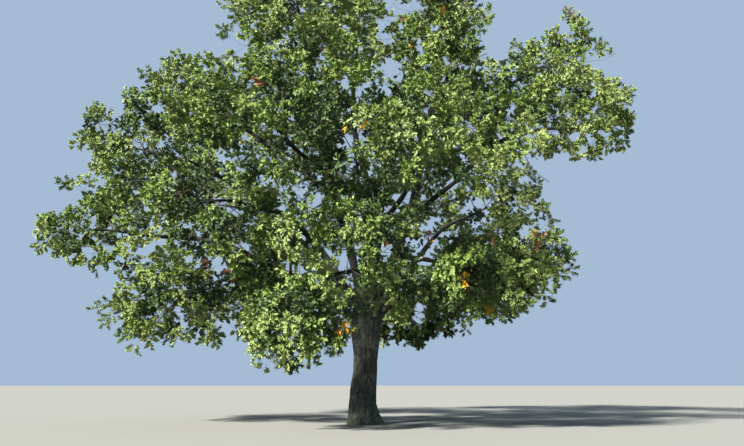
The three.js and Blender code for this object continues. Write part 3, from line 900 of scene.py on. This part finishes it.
def axis_twigs(spray, axes, random):
    """Side twigs in a flattish fan round each spray's axis."""
    place = spread_shares(len(axes), AXIS_TWIGS, AXIS_TWIG_SHARES, random)
    across = spray.aside[:, None], spray.face[:, None] * SPRAY_FLATNESS
    angle = np.radians(mixed(*AXIS_TWIG_ANGLES, place))
    direction = fanned_out(spray.ahead[:, None], across, AXIS_TWIGS, angle, random)
    fan = np.sin(np.pi * np.minimum(FAN_START + FAN_RISE * place, 1))
    length = SPRAY_REACH * spray.width[:, None] * fan / np.sin(angle)
    length = length * random.uniform(*AXIS_TWIG_CHANCE, fan.shape) + SHORTEST_TWIG
    return bent_twigs(along_paths(axes, place), direction, length, random).reshape(-1, 3, 3)


def coarse_side_twigs(paths, owner, masses, random):
    """Side twigs all round the coarse twigs."""
    place = spread_shares(len(paths), COARSE_TWIGS, COARSE_TWIG_SHARES, random)
    ahead = ahead_of(paths)
    angle = np.radians([COARSE_TWIG_ANGLE])
    direction = fanned_out(ahead, across_of(ahead), COARSE_TWIGS, angle, random)
    scale = gathered(masses, "scale")[owner, None]
    length = COARSE_TWIG_LENGTH * scale * random.uniform(*TWIG_CHANCE, place.shape)
    return bent_twigs(along_paths(paths, place), direction, length, random).reshape(-1, 3, 3)


def grow_shoots(sides, random):
    """Shoots round the outer part of each side twig, and one at its tip: twigs x shoots x 2 x 3."""
    place = spread_shares(len(sides), SHOOTS, SHOOT_SHARES, random)
    foot = along_paths(sides, place)
    ahead = ahead_of(sides)
    direction = fanned_out(ahead, across_of(ahead), SHOOTS, np.radians([SHOOT_ANGLE]), random)
    length = mixed(*SHOOT_LENGTHS, place) * random.uniform(*SHOOT_CHANCE, place.shape)
    shoots = np.stack([foot, foot + direction * length[..., None]], axis=2)
    end = sides[:, 2:]
    tips = np.stack([end, end + ahead * SHOOT_LENGTHS[1]], axis=2)
    return np.concatenate([shoots, tips], axis=1)


def openness(masses, points):
    """How near points are to the outside of the whole crown, from 0, deep inside, to 1."""
    cover = np.zeros(len(points))
    for mass in masses:
        depth = sizes((points - mass.centre) / mass.half)
        cover += np.maximum(COVER_REACH - depth, 0)
    return 1 - np.clip((cover - COVER_LIMITS[0]) / (COVER_LIMITS[1] - COVER_LIMITS[0]), 0, 1)


def clump_middles(tufts, spray_of):
    """The middle of each tuft's own spray."""
    count = np.bincount(spray_of)
    sums = [np.bincount(spray_of, weights=tufts[:, axis]) for axis in range(3)]
    return (np.stack(sums, axis=1) / np.maximum(count, 1)[:, None])[spray_of]


def grow_leaves(shoots, tuft, clump, out, open_air, random):
    """Foot, directions and length of each leaf, and whether it is kept. There are LEAVES on each
    shoot of an n x 2 x 3 array, finer on the crown's outside, and fewer and larger inside."""
    ahead = ahead_of(shoots)
    angle = np.radians(mixed(*LEAF_ANGLES, LEAF_SHARES))
    direction = fanned_out(ahead, across_of(ahead), LEAVES, angle, random)
    wander = random.normal(0, LEAF_WANDER, direction.shape)
    direction = unit(direction + wander - UP * LEAF_DROOP)
    base = mixed(shoots[:, :1], shoots[:, 1:], LEAF_SHARES[:, None])
    spread = random.uniform(*LEAF_LENGTH_CHANCE, base.shape[:2])
    length = mixed(*LEAF_LENGTHS, open_air)[:, None] * spread
    kept = random.random(base.shape[:2]) < mixed(*LEAVES_KEPT, open_air)[:, None]
    from_tuft = unit(base + direction * length[..., None] / 2 - tuft[:, None])
    from_clump = unit(base - clump[:, None])
    facing = (LEAF_FACING["tuft"] * from_tuft + LEAF_FACING["up"] * UP
              + LEAF_FACING["clump"] * from_clump
              + LEAF_FACING["out"] * out[:, None]
              + LEAF_FACING["chance"] * random.normal(0, 1, direction.shape))
    aside = unit(np.cross(direction, facing))
    return SimpleNamespace(
        base=base.reshape(-1, 3), ahead=direction.reshape(-1, 3), aside=aside.reshape(-1, 3),
        normal=np.cross(aside, direction).reshape(-1, 3), length=length.ravel(), kept=kept.ravel(),
    )


def leaf_mesh(leaves, chosen):
    """Points and triangles of the chosen leaves: blades of two facets, folded along the middle."""
    mirrored = [(x, -y, z) for x, y, z in reversed(LEAF_OUTLINE) if y]
    outline = np.array([(0, 0, 0), *LEAF_OUTLINE, *mirrored])
    faces = np.array([(0, k + 1, k + 2) for k in range(LEAF_FACES)])
    scaled = outline[None] * leaves.length[chosen][:, None, None]
    points = (leaves.base[chosen][:, None]
              + leaves.ahead[chosen][:, None] * scaled[..., :1]
              + leaves.aside[chosen][:, None] * scaled[..., 1:2]
              + leaves.normal[chosen][:, None] * scaled[..., 2:])
    return points.reshape(-1, 3), repeated(faces, len(outline), len(points))


def allowed(masses, owner, points, limit):
    """Whether points stay within a share of their own mass's space."""
    inside = np.zeros(len(points), bool)
    for i, mass in enumerate(masses):
        mine = owner == i
        inside[mine] = in_space(mass, points[mine], limit)
    return inside


def tufts_kept(masses, owner, tufts, random):
    """Tufts out to a limit that swells and sinks over the crown, and fewer in the thin masses."""
    middles = gathered(masses, "centre")[owner]
    depth = sizes((tufts - middles) / gathered(masses, "half")[owner])
    swell = np.clip(0.5 + noise_at(tufts / SWELL_SIZE + SWELL_OFFSET), 0, 1)
    outward = dot(unit(tufts - middles), unit(middles - np.array(CROWN_MIDDLE)))
    limit = mixed(1, mixed(*SWELL_LIMITS, swell), np.clip(SWELL_GAIN * outward, 0, 1))
    density = np.array([THIN_MASSES.get(mass.name, 1) for mass in masses])[owner]
    return (depth < limit) & (random.random(len(tufts)) < density)


# Materials


def plain_material(name, color, roughness, shine=PLAIN_SHINE):
    material = bpy.data.materials.new(name)
    material.use_nodes = True
    shader = material.node_tree.nodes["Principled BSDF"]
    shader.inputs["Base Color"].default_value = (*color, 1)
    shader.inputs["Roughness"].default_value = roughness
    shader.inputs["Specular IOR Level"].default_value = shine
    return material


# Bark


def cracks(place):
    """How deep the bark's cracks are, 0 on a ridge and 1 in a crack, at places whose third
    coordinate runs along the limb."""
    cell = place / np.array([CRACK_WIDTH, CRACK_WIDTH, CRACK_WIDTH * CRACK_STRETCH])
    bend = noise_at(cell * CRACK_BEND_SCALE + CRACK_BEND_OFFSET)
    bent = cell + bend[:, None] * CRACK_BEND
    lines = [strength * np.exp(-(noise_at(bent * scale + offset) / width) ** 2)
             for scale, offset, width, strength in CRACK_LINES]
    return np.maximum(*lines)


def set_bark(piece, place, crack):
    """Keeps the limb's own coordinates and the cracks on a bark piece, for its material."""
    place_kept = piece.data.attributes.new("bark_place", "FLOAT_VECTOR", "POINT")
    place_kept.data.foreach_set("vector", place.astype(np.float32).ravel())
    crack_kept = piece.data.attributes.new("bark_crack", "FLOAT", "POINT")
    crack_kept.data.foreach_set("value", crack.astype(np.float32))


def round_limb(mass, path, sides):
    """The directions all round a bough's curve at each point of its path."""
    ahead = unit(np.gradient(path, axis=0))
    first = unit(np.cross(ahead, mass.aside + SLIGHT * UP))
    return turned(first[:, None], np.cross(ahead, first)[:, None], ring_angles(sides))


def limb_radii(mass, t, path):
    """The lumpy radius of a bough and of the stem it runs on into."""
    bough = bough_radius(mass, np.minimum(t, mass.entry), path)
    stem = mixed(BOUGH_TIP, STEM_TIP, (t - mass.entry) / (1 - mass.entry))
    lumps = noise_at(path * BOUGH_LUMP_SCALE + mass.phase)
    return np.where(t < mass.entry, bough, stem) * (1 + BOUGH_LUMPS * lumps)


def bough_skin(mass, sides, step):
    """Points, triangles, limb coordinates and cracks of one bough and the stem it runs on into."""
    rings = max(LEAST_RINGS, round(mass.length / step))
    t = np.linspace(0, 1, rings)
    path = point_on(mass, t)
    radii = limb_radii(mass, t, path)[:, None]
    angle = ring_angles(sides)
    along = np.concatenate([[0], np.cumsum(sizes(np.diff(path, axis=0)))])
    place = np.stack([
        np.cos(angle) * radii,
        np.sin(angle) * radii,
        np.repeat(along + BARK_SHIFT * mass.phase, sides).reshape(rings, sides),
    ], axis=-1).reshape(-1, 3)
    crack = cracks(place * BOUGH_CRACK_SCALE)
    depth = np.minimum(CRACK_DEPTH, THIN_CRACK_DEPTH * radii) * crack.reshape(rings, sides)
    points = path[:, None] + round_limb(mass, path, sides) * (radii - depth)[..., None]
    tip = path[-1:] + unit(path[-1:] - path[-2:-1]) * STEM_TIP
    cap = cap_faces(sides, sides * (rings - 1), sides * rings)
    return (
        np.concatenate([points.reshape(-1, 3), tip]),
        np.concatenate([tube_faces(sides, rings), cap]),
        np.concatenate([place, place[-1:]]),
        np.append(crack, 0),
    )


def trunk_rings():
    """The trunk's rings as the solid has them, with more sides, and carried on below the cut."""
    heights = np.array(TRUNK_HEIGHTS, float)
    fine = np.concatenate([[-TRUNK_BELOW], np.arange(0, heights[-1], TRUNK_STEP), heights[-1:]])
    radii = np.interp(fine, heights, TRUNK_RADII)
    foot = np.exp(-np.maximum(fine, 0) / ROOT_LOBE_HEIGHT)
    x = np.interp(fine, heights, TRUNK_SHIFTS)
    angle = ring_angles(TRUNK_SIDES)
    lobe = 1 + ROOT_LOBE_DEPTH * foot[:, None] * np.cos(ROOT_LOBES * angle + ROOT_LOBE_TURN)
    radius = radii[:, None] * lobe
    return np.stack([
        x[:, None] + radius * np.cos(angle),
        radius * np.sin(angle),
        np.broadcast_to(fine[:, None], radius.shape),
    ], axis=-1)


def closed_tube(rings):
    """Points and triangles of one tube through rings of equal counts, with both ends closed."""
    count, sides = rings.shape[:2]
    base = count * sides
    bottom = cap_faces(sides, 0, base)[:, [1, 0, 2]]
    top = cap_faces(sides, base - sides, base + 1)
    middles = np.stack([rings[0].mean(axis=0), rings[-1].mean(axis=0)])
    points = np.concatenate([rings.reshape(-1, 3), middles])
    return points, np.concatenate([tube_faces(sides, count), bottom, top])


def stub_rings(mass):
    """The first stretch of a main bough, flared where it leaves the trunk."""
    t = np.linspace(0, STUB_LENGTH / mass.length, STUB_RINGS)
    path = point_on(mass, t)
    away = sizes(path - mass.start)
    flare = 1 + STUB_FLARE * np.exp(-np.maximum(away - STUB_ROOT, 0) / STUB_FLARE_LENGTH)
    taper = mixed(flare, STUB_END, np.clip(away / STUB_LENGTH, 0, 1) ** STUB_END_POWER)
    radii = bough_radius(mass, t, path) * taper
    return path[:, None] + round_limb(mass, path, STUB_SIDES) * radii[:, None, None]


def remesh_trunk(piece):
    """Gives a piece one closed skin in place of its several bodies."""
    remesh = piece.modifiers.new("remesh", "REMESH")
    remesh.mode = "VOXEL"
    remesh.voxel_size = TRUNK_VOXEL
    smooth = piece.modifiers.new("smooth", "SMOOTH")
    smooth.factor = SMOOTHING
    smooth.iterations = SMOOTHING_ROUNDS
    shaped = bpy.data.meshes.new_from_object(
        piece.evaluated_get(bpy.context.evaluated_depsgraph_get()))
    piece.modifiers.clear()
    piece.data = shaped


def limb_place(points, mains):
    """The trunk's points in the coordinates of the nearest limb, the third one along it."""
    place = points.copy()
    stem_gap = np.hypot(points[:, 0] - FORK_SHIFT / 2, points[:, 1]) / TRUNK_REACH
    stem_gap = np.where(points[:, 2] > FORK_HEIGHT, FAR_GAP, stem_gap)
    for mass in mains:
        ahead = unit(point_on(mass, STUB_LENGTH / mass.length) - mass.start)
        offset = points - mass.start
        along = offset @ ahead
        gap = sizes(offset - along[:, None] * ahead) / mass.radius
        nearer = (gap < stem_gap) & (along > LIMB_BARK_START)
        first, second = across_of(ahead)
        local = np.stack([offset @ first, offset @ second, along + BARK_SHIFT * mass.phase], axis=1)
        place[nearer] = local[nearer]
        stem_gap = np.where(nearer, gap, stem_gap)
    return place


def make_trunk(masses, material):
    """Trunk and fork as one skin, with the bark's ridges and cracks."""
    mains = [mass for mass in masses if mass.parent == "trunk"]
    bodies = [closed_tube(rings) for rings in [trunk_rings(), *map(stub_rings, mains)]]
    piece = mesh_object("trunk_bark", *joined(bodies), material, smooth=True)
    remesh_trunk(piece)
    mesh = piece.data
    points = np.empty((len(mesh.vertices), 3), np.float32)
    normals = np.empty_like(points)
    mesh.vertices.foreach_get("co", points.ravel())
    mesh.vertices.foreach_get("normal", normals.ravel())
    points = points.astype(float)
    place = limb_place(points, mains)
    crack = cracks(place)
    lumps = noise_at(points * TRUNK_LUMP_SCALE + TRUNK_LUMP_OFFSET)
    moved = points + normals * (TRUNK_LUMPS * lumps - CRACK_DEPTH * crack)[:, None]
    moved[:, 2] = np.maximum(moved[:, 2], 0)
    mesh.vertices.foreach_set("co", moved.astype(np.float32).ravel())
    mesh.polygons.foreach_set("use_smooth", np.ones(len(mesh.polygons), bool))
    mesh.update()
    set_bark(piece, place, crack)
    return piece


def make_boughs(masses, material):
    kinds = [MAIN_SKIN if mass.parent == "trunk" else SIDE_SKIN for mass in masses]
    skins = [bough_skin(mass, *kind) for mass, kind in zip(masses, kinds)]
    parts = joined([skin[:2] for skin in skins])
    piece = mesh_object("bough_bark", *parts, material, smooth=True)
    set_bark(piece, *(np.concatenate([skin[k] for skin in skins]) for k in (2, 3)))
    return piece


def fill(tree, node, **inputs):
    """Gives a node's sockets values or links, _ standing for a space in their names."""
    for name, value in inputs.items():
        socket = node.inputs[name.replace("_", " ")]
        if isinstance(value, bpy.types.NodeSocket):
            tree.links.new(value, socket)
        else:
            socket.default_value = value


def add_node(tree, kind, **inputs):
    node = tree.nodes.new(f"ShaderNode{kind}")
    fill(tree, node, **inputs)
    return node


def attribute(tree, name, output):
    """A socket that gives one of a mesh's own attributes."""
    node = add_node(tree, "Attribute")
    node.attribute_name = name
    return node.outputs[output]


def blended(tree, factor, limits, color_a, color_b, most=1):
    """Color_a turning to color_b as the factor goes between its limits, up to a share of most."""
    low, high = limits
    spread = add_node(tree, "MapRange", Value=factor, From_Min=low, From_Max=high, To_Max=most)
    mix = add_node(tree, "Mix")
    mix.data_type = "RGBA"
    fill(tree, mix, Factor=spread.outputs["Result"], A=color_a, B=color_b)
    return mix.outputs["Result"]


def bark_material(name, painted_shade):
    """Bark in the limb's own coordinates: ridges, lichen and cracks, the cracks darker partly as
    painted shade. A share below 1 darkens all of it as painted shade, as on the boughs.
    """
    def with_painted_shade(color):
        return (*(painted_shade * channel for channel in color), 1)

    material = plain_material(name, RIDGE_HIGH, BARK_ROUGHNESS, BARK_SHINE)
    tree = material.node_tree
    place = attribute(tree, "bark_place", "Vector")
    crack = attribute(tree, "bark_crack", "Fac")
    stretch = add_node(tree, "Mapping", Vector=place, Scale=(1, 1, GRAIN_STRETCH))
    grain = add_node(tree, "TexNoise", Vector=stretch.outputs["Vector"], Scale=GRAIN_SCALE,
                     Detail=GRAIN_DETAIL, Roughness=GRAIN_ROUGHNESS).outputs["Fac"]
    patches = add_node(tree, "TexNoise", Vector=place, Scale=PATCH_SCALE, Detail=PATCH_DETAIL)
    color = blended(tree, grain, GRAIN_LIMITS, with_painted_shade(RIDGE_LOW), with_painted_shade(RIDGE_HIGH))
    color = blended(tree, patches.outputs["Fac"], PATCH_LIMITS, color, with_painted_shade(LICHEN), LICHEN_SHARE)
    # Darker in the cracks: partly the bark's own colour, partly painted shade
    color = blended(tree, crack, CRACK_LIMITS, color, with_painted_shade(CRACK_COLOR_AND_SHADE), CRACK_SHARE)
    bump = add_node(tree, "Bump", Strength=BARK_BUMP, Distance=BARK_BUMP_DEPTH, Height=grain)
    shader = tree.nodes["Principled BSDF"]
    fill(tree, shader, Base_Color=color, Normal=bump.outputs["Normal"])
    return material


# Foliage pieces


def coarse_paths(grown):
    """The coarse twigs as sagging paths, with their foot radii and masses."""
    coarse = [twig for each in grown for twig in each.twigs]
    owner = np.repeat(np.arange(len(grown)), [len(each.twigs) for each in grown])
    start = gathered(coarse, "start")[:, None]
    end = gathered(coarse, "end")[:, None]
    length = sizes(end - start)[..., None]
    share = np.linspace(0, 1, COARSE_PARTS + 1)[:, None]
    paths = mixed(start, end, share) - UP * COARSE_SAG * length * arch(share)
    return paths, gathered(coarse, "foot"), owner


def even_tubes(paths, radii, sides):
    """Tubes that all taper alike, from the first radius to the last."""
    along = np.linspace(*radii, paths.shape[1])
    return tubes(paths, np.broadcast_to(along, paths.shape[:2]), sides)


def shoot_cones(shoots):
    """Three-sided cones without a base, from each shoot's foot to its tip."""
    around = turned(*across_of(ahead_of(shoots)), ring_angles(FINE_SIDES))
    points = np.concatenate([shoots[:, :1] + around * SHOOT_RADIUS, shoots[:, 1:]], axis=1)
    faces = cap_faces(FINE_SIDES, 0, FINE_SIDES)
    return points.reshape(-1, 3), repeated(faces, FINE_SIDES + 1, len(shoots))


def tuft_tints(spray_of, open_air, random):
    """The number of a green for each tuft: alike within a spray, lighter on the crown's outside as
    painted light, and darker inside as painted shade.
    """
    by_spray = random.random(spray_of.max() + 1)[spray_of]
    level = (TINT_WEIGHTS["spray"] * by_spray + TINT_WEIGHTS["tuft"] * random.random(len(spray_of))
             + TINT_WEIGHTS["outside_painted_light"] * open_air)
    rank = np.argsort(np.argsort(level)) / len(level)
    return np.searchsorted(np.cumsum(list(TINT_SHARES.values())), rank)


def shoot_tints(tint, tips, random):
    """Each shoot takes its tuft's green, and a few take autumn tints where the photo has them."""
    names = list(LEAF_TINTS)
    chance = random.random(len(tint))
    for name, share in STRAY_SHARES.items():
        tint[chance < share] = names.index(name)
        chance -= share + (chance < share)
    across, down = pixels(tips)
    depth = tips[:, 1]
    for middle, height, radius, name, count in AUTUMN:
        near = np.hypot(across - middle, down - height) < radius
        front = np.sort(depth[near])[:count]
        if len(front):
            tint[near & (depth <= front[-1])] = names.index(name)
    return tint


def trimmed(axes, feet, spray_of):
    """The axes as far as their last side twig, without those that have none."""
    mine = spray_of < len(axes)
    root = axes[spray_of[mine], 0]
    length = sizes(axes[:, -1] - axes[:, 0])
    share = sizes(feet[mine] - root) / length[spray_of[mine]]
    furthest = np.zeros(len(axes))
    np.maximum.at(furthest, spray_of[mine], np.minimum(share, 1))
    shares = np.linspace(0, 1, AXIS_PARTS + 1) * furthest[:, None]
    return along_paths(axes, shares)[furthest > 0]


def grow_sprays(masses, grown, random):
    """Axes, coarse twigs and side twigs, and each side twig's tuft, mass and spray."""
    spray = spray_frames(grown)
    axes = grow_axes(spray, random)
    coarse, coarse_foot, coarse_owner = coarse_paths(grown)
    fans = axis_twigs(spray, axes, random)
    others = coarse_side_twigs(coarse, coarse_owner, masses, random)
    sides = np.concatenate([fans, others])
    spray_of = np.concatenate([
        np.repeat(np.arange(len(axes)), AXIS_TWIGS),
        np.repeat(len(axes) + np.arange(len(coarse)), COARSE_TWIGS),
    ])
    owner = np.concatenate([spray.mass, coarse_owner])[spray_of]
    tufts = mixed(sides[:, 0], sides[:, 2], TUFT_SHARE)
    kept = tufts_kept(masses, owner, tufts, random) & allowed(masses, owner, sides[:, 2], 1)
    return SimpleNamespace(
        axes=trimmed(axes, sides[kept, 0], spray_of[kept]), coarse=coarse, coarse_foot=coarse_foot,
        sides=sides[kept], tufts=tufts[kept], owner=owner[kept], spray_of=spray_of[kept],
    )


def grow_foliage(masses, sprays, random):
    """Shoots and leaves with their tints, none outside the masses' spaces or in a gap of sky."""
    open_air = openness(masses, sprays.tufts)
    tint = tuft_tints(sprays.spray_of, open_air, random)
    shoots = grow_shoots(sprays.sides, random)
    twig_of = np.repeat(np.arange(len(sprays.sides)), shoots.shape[1])
    shoots = shoots.reshape(-1, 2, 3)
    kept = allowed(masses, sprays.owner[twig_of], shoots[:, 1], TIP_LIMIT)
    kept &= ~in_sky_gap(shoots[:, 1])
    shoots, twig_of = shoots[kept], twig_of[kept]
    tint = shoot_tints(tint[twig_of], shoots[:, 1], random)
    centres = gathered(masses, "centre")[sprays.owner]
    clump = clump_middles(sprays.tufts, sprays.spray_of)
    leaves = grow_leaves(
        shoots, sprays.tufts[twig_of], clump[twig_of], unit(sprays.tufts - centres)[twig_of],
        open_air[twig_of], random,
    )
    tips = leaves.base + leaves.ahead * leaves.length[:, None]
    owner = np.repeat(sprays.owner[twig_of], LEAVES)
    shown = leaves.kept & ~in_sky_gap(tips) & allowed(masses, owner, tips, TIP_LIMIT)
    return SimpleNamespace(shoots=shoots, leaves=leaves, shown=shown, tint=np.repeat(tint, LEAVES))


def make_leaf_pieces(foliage):
    """The leaves of each tint, joined into pieces below the limit of triangles."""
    pieces = []
    for index, (name, color) in enumerate(LEAF_TINTS.items()):
        material = plain_material(f"leaf_{name}", color, LEAF_ROUGHNESS, LEAF_SHINE)
        chosen = np.flatnonzero(foliage.shown & (foliage.tint == index))
        count = math.ceil(len(chosen) * LEAF_FACES / MOST_TRIANGLES)
        for k, part in enumerate(np.array_split(chosen, count)):
            parts = leaf_mesh(foliage.leaves, part)
            pieces.append(mesh_object(f"leaves_{name}_{k + 1}", *parts, material))
    return pieces


def make_twig_pieces(sprays, foliage):
    """Coarse twigs, spray axes, side twigs and shoots, each kind joined."""
    material = plain_material("twig_bark", TWIG_COLOR, TWIG_ROUGHNESS)
    taper = np.linspace(0, 1, COARSE_PARTS + 1)
    coarse_radii = mixed(sprays.coarse_foot[:, None], AXIS_RADII[0], taper)
    kinds = {
        "coarse_twigs": tubes(sprays.coarse, coarse_radii, COARSE_SIDES),
        "spray_axes": even_tubes(sprays.axes, AXIS_RADII, FINE_SIDES),
        "side_twigs": even_tubes(sprays.sides, SIDE_RADII, FINE_SIDES),
        "shoots": shoot_cones(foliage.shoots),
    }
    return [mesh_object(name, *parts, material) for name, parts in kinds.items()]


def make_dead_twigs(coarse, random):
    """Bare forked twigs where the photo shows them, each from the coarse twig nearest there."""
    joints = along_paths(coarse, DEAD_JOINT_SHARES).reshape(-1, 3)
    cosine = np.cos(DEAD_SIDE_ANGLES)
    sine = np.sin(DEAD_SIDE_ANGLES)
    across, down = pixels(joints)
    parts = []
    for foot, tip, radius, forward in DEAD_TWIGS:
        gap = np.hypot(across - foot[0], down - foot[1]) + DEAD_DEPTH_WEIGHT * joints[:, 1]
        start = joints[gap.argmin()]
        way = at_pixel(*tip, start[1] - forward) - start
        length = sizes(way)
        stem = bent_twigs(start[None], way[None] / length, np.array([length]), random)
        thin = radius * DEAD_TIP_SHARE
        parts.append(even_tubes(stem, (radius, thin), COARSE_SIDES))
        feet = along_paths(stem, DEAD_SIDE_SHARES)[0]
        level = way[0] * cosine - way[2] * sine
        up = way[0] * sine + way[2] * cosine
        ahead = unit(np.stack([level, np.full(len(feet), way[1]), up], axis=1))
        reach_out = DEAD_SIDE_LENGTH * length * random.uniform(*TWIG_CHANCE, len(feet))
        sides = bent_twigs(feet, ahead, reach_out, random)
        parts.append(even_tubes(sides, (thin * DEAD_SIDE_FOOT, thin), DEAD_SIDES))
    material = plain_material("dead_twig", DEAD_COLOR, TWIG_ROUGHNESS)
    return mesh_object("dead_twigs", *joined(parts), material)


def make_tree():
    masses = make_masses()
    set_limits(masses)
    set_limbs(masses)
    grown = [grow(mass, i, masses) for i, mass in enumerate(masses)]
    random = np.random.default_rng(SPRAY_SEED)
    sprays = grow_sprays(masses, grown, random)
    foliage = grow_foliage(masses, sprays, random)
    trunk = make_trunk(masses, bark_material("trunk_bark", 1))
    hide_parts("trunk")
    # The boughs take a copy of the bark darkened by painted shade
    boughs = make_boughs(masses, bark_material("bough_bark", BOUGH_PAINTED_SHADE))
    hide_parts(*[f"bough_{mass.name}" for mass in masses])
    pieces = make_leaf_pieces(foliage) + make_twig_pieces(sprays, foliage)
    pieces.append(make_dead_twigs(sprays.coarse, random))
    for piece in pieces:
        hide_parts(*[f"foliage_{mass.name}" for mass in masses])
    for piece in [trunk, boughs, *pieces]:
        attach(piece, "root")


def set_stage():
    """A plain pale floor, a pale surround, and one soft key from the photo's upper left."""
    scene = bpy.context.scene
    sides = FLOOR_REACH * np.array([(-1, -1, 0), (1, -1, 0), (1, 1, 0), (-1, 1, 0)])
    material = plain_material("floor", FLOOR_COLOR, 1, 0)
    floor = mesh_object("floor", sides, np.array([(0, 1, 2), (0, 2, 3)]), material)
    world = bpy.data.worlds.new("surround")
    world.use_nodes = True
    background = world.node_tree.nodes["Background"]
    background.inputs["Color"].default_value = (*SURROUND_COLOR, 1)
    background.inputs["Strength"].default_value = SURROUND_STRENGTH
    scene.world = world
    key = bpy.data.lights.new("key", "SUN")
    key.energy = KEY_STRENGTH
    key.angle = math.radians(KEY_SOFTNESS)
    key.color = KEY_COLOR
    placed("key", key).rotation_euler = Vector(KEY_FROM).to_track_quat("Z", "Y").to_euler()
    scene.view_settings.view_transform = "Standard"


def set_camera():
    lens = bpy.data.cameras.new("photo_camera")
    lens.sensor_width = SENSOR
    lens.lens = SENSOR * FOCAL_PIXELS / PHOTO[0]
    lens.clip_end = 2 * FLOOR_REACH
    camera = placed("photo_camera", lens)
    camera.location = CAMERA
    camera.rotation_euler = (math.radians(90 + CAMERA_PITCH), 0, 0)
    bpy.context.scene.camera = camera


make_tree()
set_stage()
set_camera()
